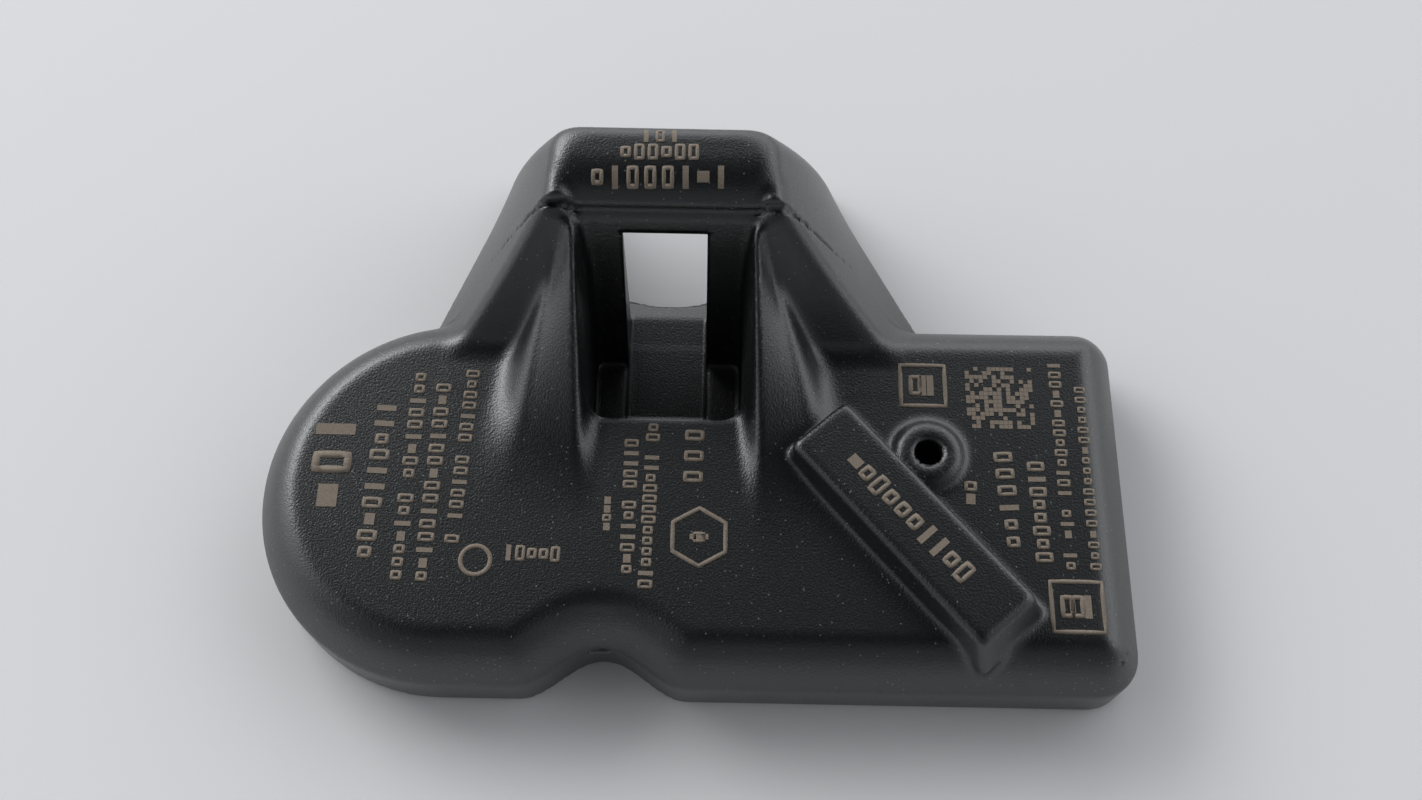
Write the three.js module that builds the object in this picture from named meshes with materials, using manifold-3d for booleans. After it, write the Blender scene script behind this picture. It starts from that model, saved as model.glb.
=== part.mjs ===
// Wheel electronics of a clamp-in tyre valve: a moulded housing with a round battery lobe,
// a rectangular electronics block and a valve tower, closed underneath by a welded cover.
// Millimetres, +Z up. X runs from the battery lobe to the block, Y from the front edge to
// the valve side. The origin is the middle of the base.
import * as THREE from 'three';
import { mergeVertices } from 'three/addons/utils/BufferGeometryUtils.js';
import Module from 'manifold-3d';

const wasm = await Module();
wasm.setup();

// ---- driving dimensions -------------------------------------------------------------
const blockRun = 32.1;           // X, from the lobe's widest point to the block's end
const frontY = -20.1;            // front edge of the base
const towerFarY = 20.1;          // far edge of the tower's base
const blockFarY = 5.6;
const blockFarRadius = 2.5;
const blockFrontRadius = 2.9;
const partingDrop = 3.3;         // the straight outer wall ends this far under the deck
const edgeRoll = 2.4;            // how far the rolled top edge runs inwards

const sideWall = 1.6;            // outer wall beside the cavity
const lobeWall = 1.4;            // outer wall beside the battery
const roofWall = 1.4;            // deck thickness over the cavity
const pocketWall = 1.4;          // wall between cavity and screw pocket
const cellPocketWall = 1.15;     // the same where the battery's room passes the pocket's corner
const bumpWall = 1.2;            // roof and end wall of the coil bump
const bumpSideWall = 0.9;

const coverTopZ = 1.2;
const coverRecess = 0.2;         // cover's underside above the base plane
const coverLedge = 0.7;          // how far the cover seat is wider than the cavity
const coverGap = 0.15;

const cellRadius = 10.0;         // 20 mm coin cell, 3.2 mm thick
const cellHeight = 3.2;
const cellShift = 1.0;           // cell centre lies this far from the lobe centre
const cellClearance = 0.35;
const cellHeadroom = 0.65;       // from the upper tab to the roof
const canWall = 0.25;
const gasketWall = 0.5;
const cellSlip = 0.05;           // gap on each side of the gasket
const capStep = 0.3;             // the can's rim stands this far above the cap's face
const capDrop = 0.5;             // the cap's rim stays this far under the can's roof
const separatorThickness = 0.2;
const discClearance = 0.3;

const tabThickness = 0.2;
const tabWidth = 3.0;
const tabFoot = 3.0;             // length of a tab past the board's edge
const tabGap = 0.15;             // from a tab to the cover, and to the board's edge

const boardThickness = 0.8;
const boardZ = 2.6;              // underside of the board
const boardGap = 0.5;            // board edge to cavity wall
const boardCellGap = 0.95;       // from the battery to the board's edge
const postRadius = 0.9;
const cavityCorner = 1.2;

// X of everything on the tower is measured from the valve screw's axis.
const scallop = { x: -3.5, halfWidth: 5.6, depth: 2.6 };
const tower = {
  topZ: 17.8,                    // far edge of the bar's top
  topTilt: 0.12,                 // fall of the top face per mm towards the front
  barFrontY: 8.0,                // front edge of the bar
  leftTopX: -7.05,
  rightTopX: 6.85,
  farLean: 0.42,                 // the far face moves this far forward per mm of height
  leftBase: { x: -16.35, y: 8.5, slope: 0.389 },
  rightBase: { x: 18.05, y: 7.7, slope: -0.536 },
  shoulderFootY: 0.5,            // where the front of each flank has run out into the deck
  shoulderPower: 2.5,
};
const ridgeDrop = 0.8;           // the ribs start this far under the bar's top
const ribs = {
  left: { x: -5.75, footX: -5.35, footY: -10.6, power: 2.2, spread: 7.2 },
  right: { x: 6.15, footX: 7.05, footY: -13.6, power: 2.6, spread: 6.6 },
};
const ribFall = 1.6;             // how hollow the outer side of a rib is
const ribInnerRun = 0.9;         // width of a rib's steep inner side

const pocket = { left: -5.05, right: 5.25, frontY: -2.7, floorZ: 1.3, cornerRadius: 1.35 };
const seat = { footY: 1.6, footZ: 1.0, topY: 7.3, topZ: 14.5 };
const brow = { setback: 0.2, drop: 0.6 };  // top edge of the seat, behind and under the bar's edge
const slot = { width: 5.5, floorZ: 1.0 };
const valveArch = { radius: 7.8, rearY: 7.8 };
const archLip = { y: 9.0, radius: 9.0 };

const bumpStart = { fromEnd: 20.8, y: -3.75 };  // the coil bump's inner end, from the block's end
const bumpAngle = -48.4;         // degrees from +X
const bumpDraft = 0.3;           // the bump's foot is this much wider on each side
const coil = { length: 11.4, width: 2.6, height: 2.6, flange: 1.4, core: 1.2, pad: 0.6, base: 0.4 };
const coilStart = 3.0;           // from the bump's inner end to its room
const coilEndGap = 0.5;
const coilSideGap = 0.125;
const coilHeadroom = 1.1;
const coilSlack = 0.3;           // gap round the core inside the winding
const turnedGap = 0.12;          // gap between neighbours in the turned coil
const terminal = { thickness: 0.25, halfWidth: 0.8, lap: 0.6 };

const port = { fromEnd: 13.5, y: -5.1, boreRadius: 0.9, topRadius: 1.9, footRadius: 2.7, rise: 0.8 };
const chip = { offset: [1.3, 0.9], size: 5.0, height: 1.45, lid: 0.25, lidInset: 0.3 };
const seal = { slip: 0.15, wall: 0.8 };
const filterThickness = 0.15;

const antenna = { width: 1.0, thickness: 0.3, rise: 1.5, inset: 0.7, portReach: 5.7, startGap: 5.2 };

const tabSpacing = 4.2;          // Y, between the middles of the two tabs

const trimDepth = 1.0;           // solids start this far below the base before it is cut flat
const circleSides = 64;
const overcut = 2.0;             // cuts run this far past the surface that they open
const smallSides = 24;
const postSides = 16;
const arcStep = Math.PI / 24;

// ---- values that follow from them ---------------------------------------------------
const cellBottomZ = coverTopZ + tabGap + tabThickness;
const cellTopZ = cellBottomZ + cellHeight;
const cavityTopZ = cellTopZ + tabThickness + cellHeadroom;
const deckZ = cavityTopZ + roofWall;
const partingZ = deckZ - partingDrop;
const ridgeTopZ = tower.topZ - ridgeDrop;
const boardTopZ = boardZ + boardThickness;
const lobeRadius = cellRadius + cellClearance + cellShift + lobeWall;
const halfWidth = lobeRadius + blockRun / 2;
const lobe = { x: -halfWidth + lobeRadius, y: frontY + lobeRadius };

// The pocket's rounded corner keeps its wall to the battery's room, and the cell moves away
// from that corner. The corner is given from the lobe's centre.
const cornerReach = cellRadius + cellClearance - cellShift + cellPocketWall + pocket.cornerRadius;
const cornerY = pocket.frontY + pocket.cornerRadius - lobe.y;
const cornerX = Math.sqrt(cornerReach ** 2 - cornerY ** 2);
const valveX = lobe.x + cornerX - pocket.cornerRadius - pocket.left;
const cell = {
  x: lobe.x - (cellShift * cornerX) / cornerReach,
  y: lobe.y - (cellShift * cornerY) / cornerReach,
};
const boardLeftX = cell.x + cellRadius + boardCellGap;
const portX = halfWidth - port.fromEnd;
const bumpX = halfWidth - bumpStart.fromEnd;
const tabY = pocket.frontY - pocketWall - boardGap - tabWidth / 2;
const pocketLeft = valveX + pocket.left;
const pocketRight = valveX + pocket.right;
const coilSeatZ = boardTopZ + coil.base + coil.pad;
const coilRoom = coil.length + 2 * (turnedGap + terminal.thickness + coilEndGap);
const bump = {
  turn: THREE.MathUtils.degToRad(bumpAngle),
  length: coilStart + coilRoom + bumpWall,
  width: coil.width + 2 * (coilSideGap + bumpSideWall),
  topZ: coilSeatZ + coil.height + coilHeadroom + bumpWall,
};

// ---- solids -------------------------------------------------------------------------
function toSolid(geometry) {
  const bare = geometry.index ? geometry.toNonIndexed() : geometry.clone();
  bare.deleteAttribute('normal');
  bare.deleteAttribute('uv');
  const merged = mergeVertices(bare, 1e-5);
  return new wasm.Manifold(new wasm.Mesh({
    numProp: 3,
    vertProperties: new Float32Array(merged.attributes.position.array),
    triVerts: new Uint32Array(merged.index.array),
  }));
}

function toGeometry(solid) {
  const mesh = solid.getMesh();
  const geometry = new THREE.BufferGeometry();
  geometry.setAttribute('position', new THREE.BufferAttribute(new Float32Array(mesh.vertProperties), 3));
  geometry.setIndex(new THREE.BufferAttribute(new Uint32Array(mesh.triVerts), 1));
  geometry.computeVertexNormals();
  return geometry;
}

const union = (solids) => solids.reduce((sum, next) => sum.add(next));
const without = (solid, cuts) => cuts.reduce((rest, cut) => rest.subtract(cut), solid);

// A box from its low and high corners.
function block(low, high) {
  const size = high.map((value, axis) => value - low[axis]);
  const geometry = new THREE.BoxGeometry(...size);
  geometry.translate(...low.map((value, axis) => value + size[axis] / 2));
  return toSolid(geometry);
}

// An upright cylinder or cone between two heights.
function post(x, y, lowZ, highZ, radius, topRadius = radius, sides = smallSides) {
  const geometry = new THREE.CylinderGeometry(topRadius, radius, highZ - lowZ, sides);
  geometry.rotateX(Math.PI / 2);
  geometry.translate(x, y, (lowZ + highZ) / 2);
  return toSolid(geometry);
}

// An outline in X and Y, pulled up from one height to another.
function prism(shape, lowZ, highZ) {
  const geometry = new THREE.ExtrudeGeometry(shape, { depth: highZ - lowZ, bevelEnabled: false });
  geometry.translate(0, 0, lowZ);
  return toSolid(geometry);
}

// An outline in Y and Z, pulled along X.
function prismAlongX(shape, lowX, highX) {
  const geometry = new THREE.ExtrudeGeometry(shape, { depth: highX - lowX, bevelEnabled: false });
  geometry.applyMatrix4(new THREE.Matrix4().set(0, 0, 1, lowX, 1, 0, 0, 0, 0, 1, 0, 0, 0, 0, 0, 1));
  return toSolid(geometry);
}

// An outline in X and Z, pulled along Y.
function prismAlongY(shape, lowY, highY) {
  const geometry = new THREE.ExtrudeGeometry(shape, { depth: highY - lowY, bevelEnabled: false });
  geometry.rotateX(Math.PI / 2);
  geometry.translate(0, highY, 0);
  return toSolid(geometry);
}

function outline(points) {
  return new THREE.Shape(points.map(([a, b]) => new THREE.Vector2(a, b)));
}

// Points on a circle's arc, both ends included. Angles in radians from +X.
function arcPoints(x, y, radius, from, to) {
  const steps = Math.max(4, Math.ceil(Math.abs(to - from) / arcStep));
  return Array.from({ length: steps + 1 }, (_, i) => {
    const angle = from + ((to - from) * i) / steps;
    return [x + radius * Math.cos(angle), y + radius * Math.sin(angle)];
  });
}

const quarter = Math.PI / 2;

// The four corner arcs of a rectangle, named by where they lie.
const cornerArcs = {
  frontRight: (x, y, radius) => arcPoints(x - radius, y + radius, radius, -quarter, 0),
  farRight: (x, y, radius) => arcPoints(x - radius, y - radius, radius, 0, quarter),
  farLeft: (x, y, radius) => arcPoints(x + radius, y - radius, radius, quarter, 2 * quarter),
  frontLeft: (x, y, radius) => arcPoints(x + radius, y + radius, radius, 2 * quarter, 3 * quarter),
};

function roundedBox(left, front, right, far, radius) {
  return outline([
    ...cornerArcs.frontRight(right, front, radius),
    ...cornerArcs.farRight(right, far, radius),
    ...cornerArcs.farLeft(left, far, radius),
    ...cornerArcs.frontLeft(left, front, radius),
  ]);
}

// Moves a solid made along +X about the origin to its place on the bump's axis.
function alongBump(solid, distance) {
  const x = bumpX + Math.cos(bump.turn) * distance;
  const y = bumpStart.y + Math.sin(bump.turn) * distance;
  return solid.rotate([0, 0, bumpAngle]).translate([x, y, 0]);
}

// ---- housing ------------------------------------------------------------------------
// The front edge dips inwards in one smooth wave between the lobe and the block.
function scallopPoints(steps) {
  const points = [];
  for (let i = 0; i <= steps; i += 1) {
    const t = 1 - (2 * i) / steps;
    const x = valveX + scallop.x - t * scallop.halfWidth;
    points.push([x, frontY + (scallop.depth / 2) * (1 + Math.cos(Math.PI * t))]);
  }
  return points;
}

// Lobe and block: straight outer wall up to the parting height, then a rolled edge.
function deckBody() {
  const shape = outline([
    ...arcPoints(lobe.x, lobe.y, lobeRadius, quarter, 3 * quarter),
    ...scallopPoints(16),
    ...cornerArcs.frontRight(halfWidth, frontY, blockFrontRadius),
    ...cornerArcs.farRight(halfWidth, blockFarY, blockFarRadius),
  ]);
  const geometry = new THREE.ExtrudeGeometry(shape, {
    depth: partingZ + trimDepth,
    bevelThickness: deckZ - partingZ,
    bevelSize: edgeRoll,
    bevelOffset: -edgeRoll,
    bevelSegments: 4,
  });
  geometry.translate(0, 0, -trimDepth);
  const reach = 2 * halfWidth;
  return toSolid(geometry).intersect(block([-reach, -reach, 0], [reach, reach, reach]));
}

const flankX = (base, y) => valveX + base.x + base.slope * (y - base.y);
const clamp01 = (value) => Math.min(1, Math.max(0, value));

// Height of the tower's crown at a station along Y: the shoulders in front, the bar's top,
// and the leaning far face.
function crownHeight(y) {
  const far = (towerFarY - y) / tower.farLean;
  const top = tower.topZ - tower.topTilt * (towerFarY - tower.farLean * tower.topZ - y);
  const climb = clamp01((y - tower.shoulderFootY) / (tower.barFrontY - tower.shoulderFootY));
  const front = deckZ + (ridgeTopZ - deckZ) * climb ** tower.shoulderPower;
  return Math.min(far, y < tower.barFrontY ? front : top);
}

// Height of the tower over a point, without the ribs that run down its front.
function towerWallHeight(x, y) {
  const leftX = flankX(tower.leftBase, y);
  const rightX = flankX(tower.rightBase, y);
  const left = (tower.topZ * (x - leftX)) / (valveX + tower.leftTopX - leftX);
  const right = (tower.topZ * (rightX - x)) / (rightX - valveX - tower.rightTopX);
  return Math.min(crownHeight(y), left, right);
}

// Height of a rib over a point: steep on its inner side, a hollow fan on its outer side.
function ribHeight(rib, side, x, y) {
  const climb = clamp01((y - rib.footY) / (tower.barFrontY - rib.footY));
  const crest = (ridgeTopZ - deckZ) * climb ** rib.power;
  const out = side * (x - ribX(rib, y));
  if (out > rib.spread || out < -ribInnerRun || y >= tower.barFrontY) return 0;
  const share = out < 0 ? 1 + out / ribInnerRun : (1 - out / rib.spread) ** ribFall;
  return deckZ + crest * share;
}

function ribX(rib, y) {
  const climb = clamp01((y - rib.footY) / (tower.barFrontY - rib.footY));
  return valveX + rib.footX + (rib.x - rib.footX) * climb;
}

function towerHeight(x, y) {
  return Math.max(
    towerWallHeight(x, y),
    ribHeight(ribs.left, -1, x, y),
    ribHeight(ribs.right, 1, x, y),
  );
}

// X of a flank where it meets the crown of the tower, at one station along Y.
function crestX(base, topX, y) {
  const footX = flankX(base, y);
  return footX + ((valveX + topX - footX) * crownHeight(y)) / tower.topZ;
}

// Evenly spaced values from one to the other, without the last.
function spread(from, to, steps) {
  return Array.from({ length: steps }, (_, i) => from + ((to - from) * i) / steps);
}

// The tower and its ribs: a grid that follows the creases, closed by a flat underside.
function towerBody() {
  const underDeck = 0.5;         // what doesn't rise over the deck stays this far under it
  const skirt = 0.3;             // the flanks run on this far past the base before it is cut flat
  const fanSteps = 6;
  const crownSteps = 4;
  const topCreaseY = towerFarY - tower.farLean * tower.topZ;
  const crease = 0.01;           // two stations this close make the bar's front edge crisp
  const stationsY = [
    ...spread(ribs.right.footY, tower.shoulderFootY, 7),
    ...spread(tower.shoulderFootY, tower.barFrontY - crease, 7),
    tower.barFrontY - crease,
    ...spread(tower.barFrontY, topCreaseY, 2),
    ...spread(topCreaseY, towerFarY + skirt, 3),
    towerFarY + skirt,
  ];
  const rows = stationsY.map((y) => {
    const leftX = flankX(tower.leftBase, Math.max(y, blockFarY)) - skirt;
    const rightX = flankX(tower.rightBase, Math.max(y, blockFarY)) + skirt;
    const leftCrest = Math.max(crestX(tower.leftBase, tower.leftTopX, y), leftX + skirt);
    const rightCrest = Math.min(crestX(tower.rightBase, tower.rightTopX, y), rightX - skirt);
    const leftRib = ribX(ribs.left, y);
    const rightRib = ribX(ribs.right, y);
    const across = [
      leftX,
      ...spread(leftCrest, leftRib, fanSteps),
      leftRib,
      ...spread(leftRib + ribInnerRun, rightRib - ribInnerRun, crownSteps),
      rightRib - ribInnerRun,
      ...spread(rightRib, rightCrest, fanSteps),
      rightCrest,
      rightX,
    ];
    return across.map((x) => {
      const height = towerHeight(x, y);
      const hidden = y < blockFarY && height < deckZ + 0.02;
      return [x, y, hidden ? Math.min(height, deckZ - underDeck) : Math.max(height, -trimDepth)];
    });
  });
  return toSolid(sheetSolid(rows, -2 * trimDepth)).intersect(
    block([-halfWidth, frontY, 0], [halfWidth, 2 * towerFarY, 2 * tower.topZ]),
  );
}

// A closed solid between a grid of points and a flat plane below it.
function sheetSolid(rows, baseZ) {
  const rowCount = rows.length;
  const columnCount = rows[0].length;
  const last = columnCount - 1;
  const positions = [];
  rows.forEach((row) => row.forEach((point) => positions.push(...point)));
  rows.forEach((row) => row.forEach(([x, y]) => positions.push(x, y, baseZ)));
  const top = (r, c) => r * columnCount + c;
  const low = (r, c) => rowCount * columnCount + top(r, c);
  const indices = [];
  const quad = (a, b, c, d) => indices.push(a, b, c, a, c, d);
  for (let r = 0; r < rowCount - 1; r += 1) {
    for (let c = 0; c < columnCount - 1; c += 1) {
      quad(top(r, c), top(r, c + 1), top(r + 1, c + 1), top(r + 1, c));
      quad(low(r, c), low(r + 1, c), low(r + 1, c + 1), low(r, c + 1));
    }
    quad(top(r, 0), top(r + 1, 0), low(r + 1, 0), low(r, 0));
    quad(low(r, last), low(r + 1, last), top(r + 1, last), top(r, last));
  }
  for (let c = 0; c < columnCount - 1; c += 1) {
    quad(low(0, c), low(0, c + 1), top(0, c + 1), top(0, c));
    quad(top(rowCount - 1, c), top(rowCount - 1, c + 1), low(rowCount - 1, c + 1), low(rowCount - 1, c));
  }
  const geometry = new THREE.BufferGeometry();
  geometry.setAttribute('position', new THREE.Float32BufferAttribute(positions, 3));
  geometry.setIndex(indices);
  return geometry;
}

// Raised cover of the wake-up coil, a straight bar laid diagonally over the block.
function coilBump() {
  const half = bump.width / 2;
  const foot = half + bumpDraft;
  const sunkZ = deckZ - roofWall / 2;
  const shape = outline([[-foot, sunkZ], [foot, sunkZ], [half, bump.topZ], [-half, bump.topZ]]);
  return alongBump(prismAlongX(shape, 0, bump.length), 0);
}

function portBoss() {
  return post(portX, port.y, deckZ - roofWall / 2, deckZ + port.rise, port.footRadius, port.topRadius);
}

// Screw pocket in front of the slot, with its sloping seat behind.
function pocketCut() {
  const clear = tower.topZ + overcut;
  const rise = (seat.topZ - seat.footZ) / (seat.topY - seat.footY);
  const profile = outline([
    [pocket.frontY, pocket.floorZ],
    [seat.footY + (pocket.floorZ - seat.footZ) / rise, pocket.floorZ],
    [seat.topY, seat.topZ],
    [tower.barFrontY - brow.setback, ridgeTopZ - brow.drop],
    [tower.barFrontY - brow.setback, clear],
    [pocket.frontY, clear],
  ]);
  const rimFarY = tower.barFrontY + 2 * pocket.cornerRadius;
  const rim = roundedBox(pocketLeft, pocket.frontY, pocketRight, rimFarY, pocket.cornerRadius);
  const seatCut = prismAlongX(profile, pocketLeft - overcut, pocketRight + overcut);
  return seatCut.intersect(prism(rim, 0, clear + overcut));
}

function slotCut() {
  const half = slot.width / 2;
  return block(
    [valveX - half, seat.footY - overcut, slot.floorZ],
    [valveX + half, valveArch.rearY + overcut, seat.topZ],
  );
}

// Arched channel for the valve's foot, with a low lip left at its rear.
function valveCut() {
  const springZ = seat.topZ - valveArch.radius;
  const half = valveArch.radius;
  const left = valveX - half;
  const right = valveX + half;
  const farY = towerFarY + overcut;
  const arch = outline([
    [left, slot.floorZ],
    [right, slot.floorZ],
    ...arcPoints(valveX, springZ, half, 0, 2 * quarter),
  ]);
  const lipAngle = Math.asin(half / archLip.radius);
  const under = outline([
    ...arcPoints(valveX, archLip.y + archLip.radius, archLip.radius, -lipAngle - quarter, lipAngle - quarter),
    [right, farY],
    [left, farY],
  ]);
  return prismAlongY(arch, valveArch.rearY, farY).add(prism(under, -trimDepth, slot.floorZ + 0.5));
}

// Outline of the space inside, widened all round by a margin: the battery's circle, a
// passage between the scallop and the screw pocket, and the rectangle under the block.
function cavityOutline(margin) {
  const radius = cellRadius + cellClearance + margin;
  const corner = cavityCorner + margin;
  const left = valveX + scallop.x + scallop.halfWidth + sideWall / 2 - margin;
  const right = halfWidth - sideWall + margin;
  const front = frontY + sideWall - margin;
  const far = blockFarY - sideWall + margin;
  const passageFront = frontY + scallop.depth + sideWall - margin;
  const passageFar = pocket.frontY - pocketWall + margin;
  const pocketSide = pocketRight + pocketWall - margin;
  const farAngle = Math.asin((passageFar - cell.y) / radius);
  const frontAngle = Math.asin((passageFront - cell.y) / radius);
  return outline([
    ...arcPoints(cell.x, cell.y, radius, farAngle, 4 * quarter + frontAngle),
    [left, passageFront],
    ...cornerArcs.frontLeft(left, front, corner),
    ...cornerArcs.frontRight(right, front, corner),
    ...cornerArcs.farRight(right, far, corner),
    ...cornerArcs.farLeft(pocketSide, far, corner),
    [pocketSide, passageFar],
  ]);
}

const cavitySolid = (margin, lowZ, highZ) => prism(cavityOutline(margin), lowZ, highZ);

// Places of the posts that hold the board down, and of the props under it.
function postPlaces() {
  const fromWall = 2.4;
  return [
    [halfWidth - sideWall - fromWall, frontY + sideWall + fromWall],
    [pocketRight + pocketWall + fromWall, blockFarY - sideWall - fromWall],
    [bumpX - 6.5, -6.4],
    [bumpX - 5.4, -14.6],
  ];
}

// A short round post at each of those places, from one height to another.
function boardPosts(lowZ, highZ) {
  return postPlaces().map(([x, y]) => post(x, y, lowZ, highZ, postRadius, postRadius, postSides));
}

function housing() {
  const half = coil.width / 2 + coilSideGap;
  const bumpRoom = alongBump(block([0, -half, boardTopZ], [coilRoom, half, bump.topZ - bumpWall]), coilStart);
  const body = union([deckBody(), towerBody(), coilBump(), portBoss()]);
  const hollow = without(body, [
    cavitySolid(0, coverTopZ / 2, cavityTopZ),
    cavitySolid(coverLedge, -trimDepth, coverTopZ),
    bumpRoom,
    pocketCut(),
    slotCut(),
    valveCut(),
    post(portX, port.y, boardTopZ, bump.topZ, port.boreRadius),
  ]);
  return union([hollow, ...boardPosts(boardTopZ, deckZ - roofWall / 2)]);
}

function baseCover() {
  const plate = cavitySolid(coverLedge - coverGap, coverRecess, coverTopZ);
  return union([plate, ...boardPosts(coverTopZ / 2, boardZ)]);
}

// ---- electronics --------------------------------------------------------------------
function circuitBoard() {
  const room = cavitySolid(-boardGap, boardZ, boardTopZ);
  return room.intersect(block([boardLeftX, frontY, 0], [halfWidth, blockFarY, deckZ]));
}

// A body turned about the cell's axis from its radius and height outline.
function turned(profile, sides = circleSides) {
  const points = profile.map(([radius, z]) => new THREE.Vector2(radius, z));
  const geometry = new THREE.LatheGeometry([...points, points[0]], sides);
  geometry.rotateX(Math.PI / 2);
  geometry.translate(cell.x, cell.y, 0);
  return toSolid(geometry);
}

function cellPieces() {
  const rimZ = cellBottomZ + capStep;
  const roofZ = cellTopZ - canWall;
  const floorZ = cellBottomZ + canWall;
  const gasketOuter = cellRadius - canWall - cellSlip;
  const capOuter = gasketOuter - gasketWall - cellSlip;
  const capInner = capOuter - canWall;
  const discRadius = capInner - discClearance;
  const middleZ = (floorZ + roofZ) / 2;
  const disc = (lowZ, highZ) => post(cell.x, cell.y, lowZ, highZ, discRadius, discRadius, circleSides);
  return {
    battery_can: turned([[0, cellTopZ], [0, roofZ], [cellRadius - canWall, roofZ],
      [cellRadius - canWall, rimZ], [cellRadius, rimZ], [cellRadius, cellTopZ]]),
    battery_gasket: turned([[gasketOuter - gasketWall, rimZ], [gasketOuter, rimZ],
      [gasketOuter, roofZ - cellSlip], [gasketOuter - gasketWall, roofZ - cellSlip]]),
    battery_cap: turned([[0, floorZ], [0, cellBottomZ], [capOuter, cellBottomZ],
      [capOuter, roofZ - capDrop], [capInner, roofZ - capDrop], [capInner, floorZ]]),
    battery_lithium_disc: disc(floorZ, middleZ - separatorThickness),
    battery_separator: disc(middleZ - separatorThickness, middleZ),
    battery_cathode: disc(middleZ, roofZ),
  };
}

// A flat strip that leaves the cell's face and steps up or down to its foot on the board.
function tab(middleY, stripZ, footZ) {
  const startX = cell.x - tabWidth;
  const endX = boardLeftX + tabFoot;
  const rising = footZ > stripZ;
  const outerX = boardLeftX - tabGap - (rising ? tabThickness : 0);
  const innerX = outerX + tabThickness;
  const side = rising ? 1 : -1;
  const low = rising ? stripZ : stripZ + tabThickness;
  const foot = rising ? footZ - tabThickness : footZ + tabThickness;
  const profile = [
    [startX, low],
    [innerX, low],
    [innerX, foot],
    [endX, foot],
    [endX, foot + side * tabThickness],
    [outerX, foot + side * tabThickness],
    [outerX, low + side * tabThickness],
    [startX, low + side * tabThickness],
  ];
  const shape = outline(rising ? profile : profile.reverse());
  return prismAlongY(shape, middleY - tabWidth / 2, middleY + tabWidth / 2);
}

function chipPieces() {
  const [x, y] = [portX + chip.offset[0], port.y + chip.offset[1]];
  const half = chip.size / 2;
  const lidHalf = half - chip.lidInset;
  const bodyTop = boardTopZ + chip.height;
  const lidTop = bodyTop + chip.lid;
  const inner = port.boreRadius + seal.slip;
  const ring = (outer, hole, lowZ, highZ) => without(
    post(portX, port.y, lowZ, highZ, outer),
    [post(portX, port.y, lowZ - 1, highZ + 1, hole)],
  );
  const lid = block([x - lidHalf, y - lidHalf, bodyTop], [x + lidHalf, y + lidHalf, lidTop]);
  return {
    sensor_chip: block([x - half, y - half, boardTopZ], [x + half, y + half, bodyTop]),
    sensor_lid: lid.subtract(post(portX, port.y, bodyTop - 1, lidTop + 1, port.boreRadius / 2)),
    port_seal: ring(inner + seal.wall, inner, lidTop, cavityTopZ),
    port_filter: post(portX, port.y, lidTop, lidTop + filterThickness, port.boreRadius),
  };
}

function coilPieces() {
  const halfLength = coil.length / 2;
  const side = coil.width / 2;
  const inner = halfLength - coil.flange;
  const plateTop = boardTopZ + coil.base;
  const middleZ = coilSeatZ + coil.height / 2;
  const core = coil.core / 2;
  const room = core + coilSlack;
  const place = (solid) => alongBump(solid, coilStart + coilRoom / 2);
  const end = (direction, low, high, lowZ, highZ, halfY) => block(
    [direction > 0 ? low : -high, -halfY, lowZ],
    [direction > 0 ? high : -low, halfY, highZ],
  );
  const ends = [-1, 1];
  const pieces = {
    coil_base: place(union([
      block([-halfLength, -side, boardTopZ], [halfLength, side, plateTop]),
      ...ends.map((direction) => end(direction, inner, halfLength, boardTopZ, coilSeatZ, side)),
    ])),
    coil_core: place(union([
      block([-halfLength, -core, middleZ - core], [halfLength, core, middleZ + core]),
      ...ends.map((direction) => end(direction, inner, halfLength, coilSeatZ, coilSeatZ + coil.height, side)),
    ])),
    coil_winding: place(
      block([turnedGap - inner, -side, middleZ - side], [inner - turnedGap, side, middleZ + side])
        .subtract(block([-halfLength, -room, middleZ - room], [halfLength, room, middleZ + room])),
    ),
  };
  const near = halfLength + turnedGap;
  const far = near + terminal.thickness;
  const lapZ = coilSeatZ + terminal.lap;
  ends.forEach((direction, index) => {
    pieces[`coil_terminal_${index + 1}`] = place(end(direction, near, far, boardTopZ, lapZ, terminal.halfWidth));
  });
  return pieces;
}

// A strap that runs over the board's right and far edges on three legs.
function antennaStrap() {
  const { width, thickness } = antenna;
  const endX = portX - antenna.portReach;
  const right = halfWidth - sideWall - boardGap - antenna.inset;
  const far = blockFarY - sideWall - boardGap - antenna.inset;
  const start = frontY + sideWall + antenna.startGap;
  const lowZ = boardTopZ + antenna.rise;
  const highZ = lowZ + thickness;
  return union([
    block([right - width, start, lowZ], [right, far, highZ]),
    block([endX, far - width, lowZ], [right, far, highZ]),
    block([right - width, start, boardTopZ], [right, start + thickness, highZ]),
    block([right - thickness, far - width, boardTopZ], [right, far, highZ]),
    block([endX, far - width, boardTopZ], [endX + thickness, far, highZ]),
  ]);
}

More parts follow.
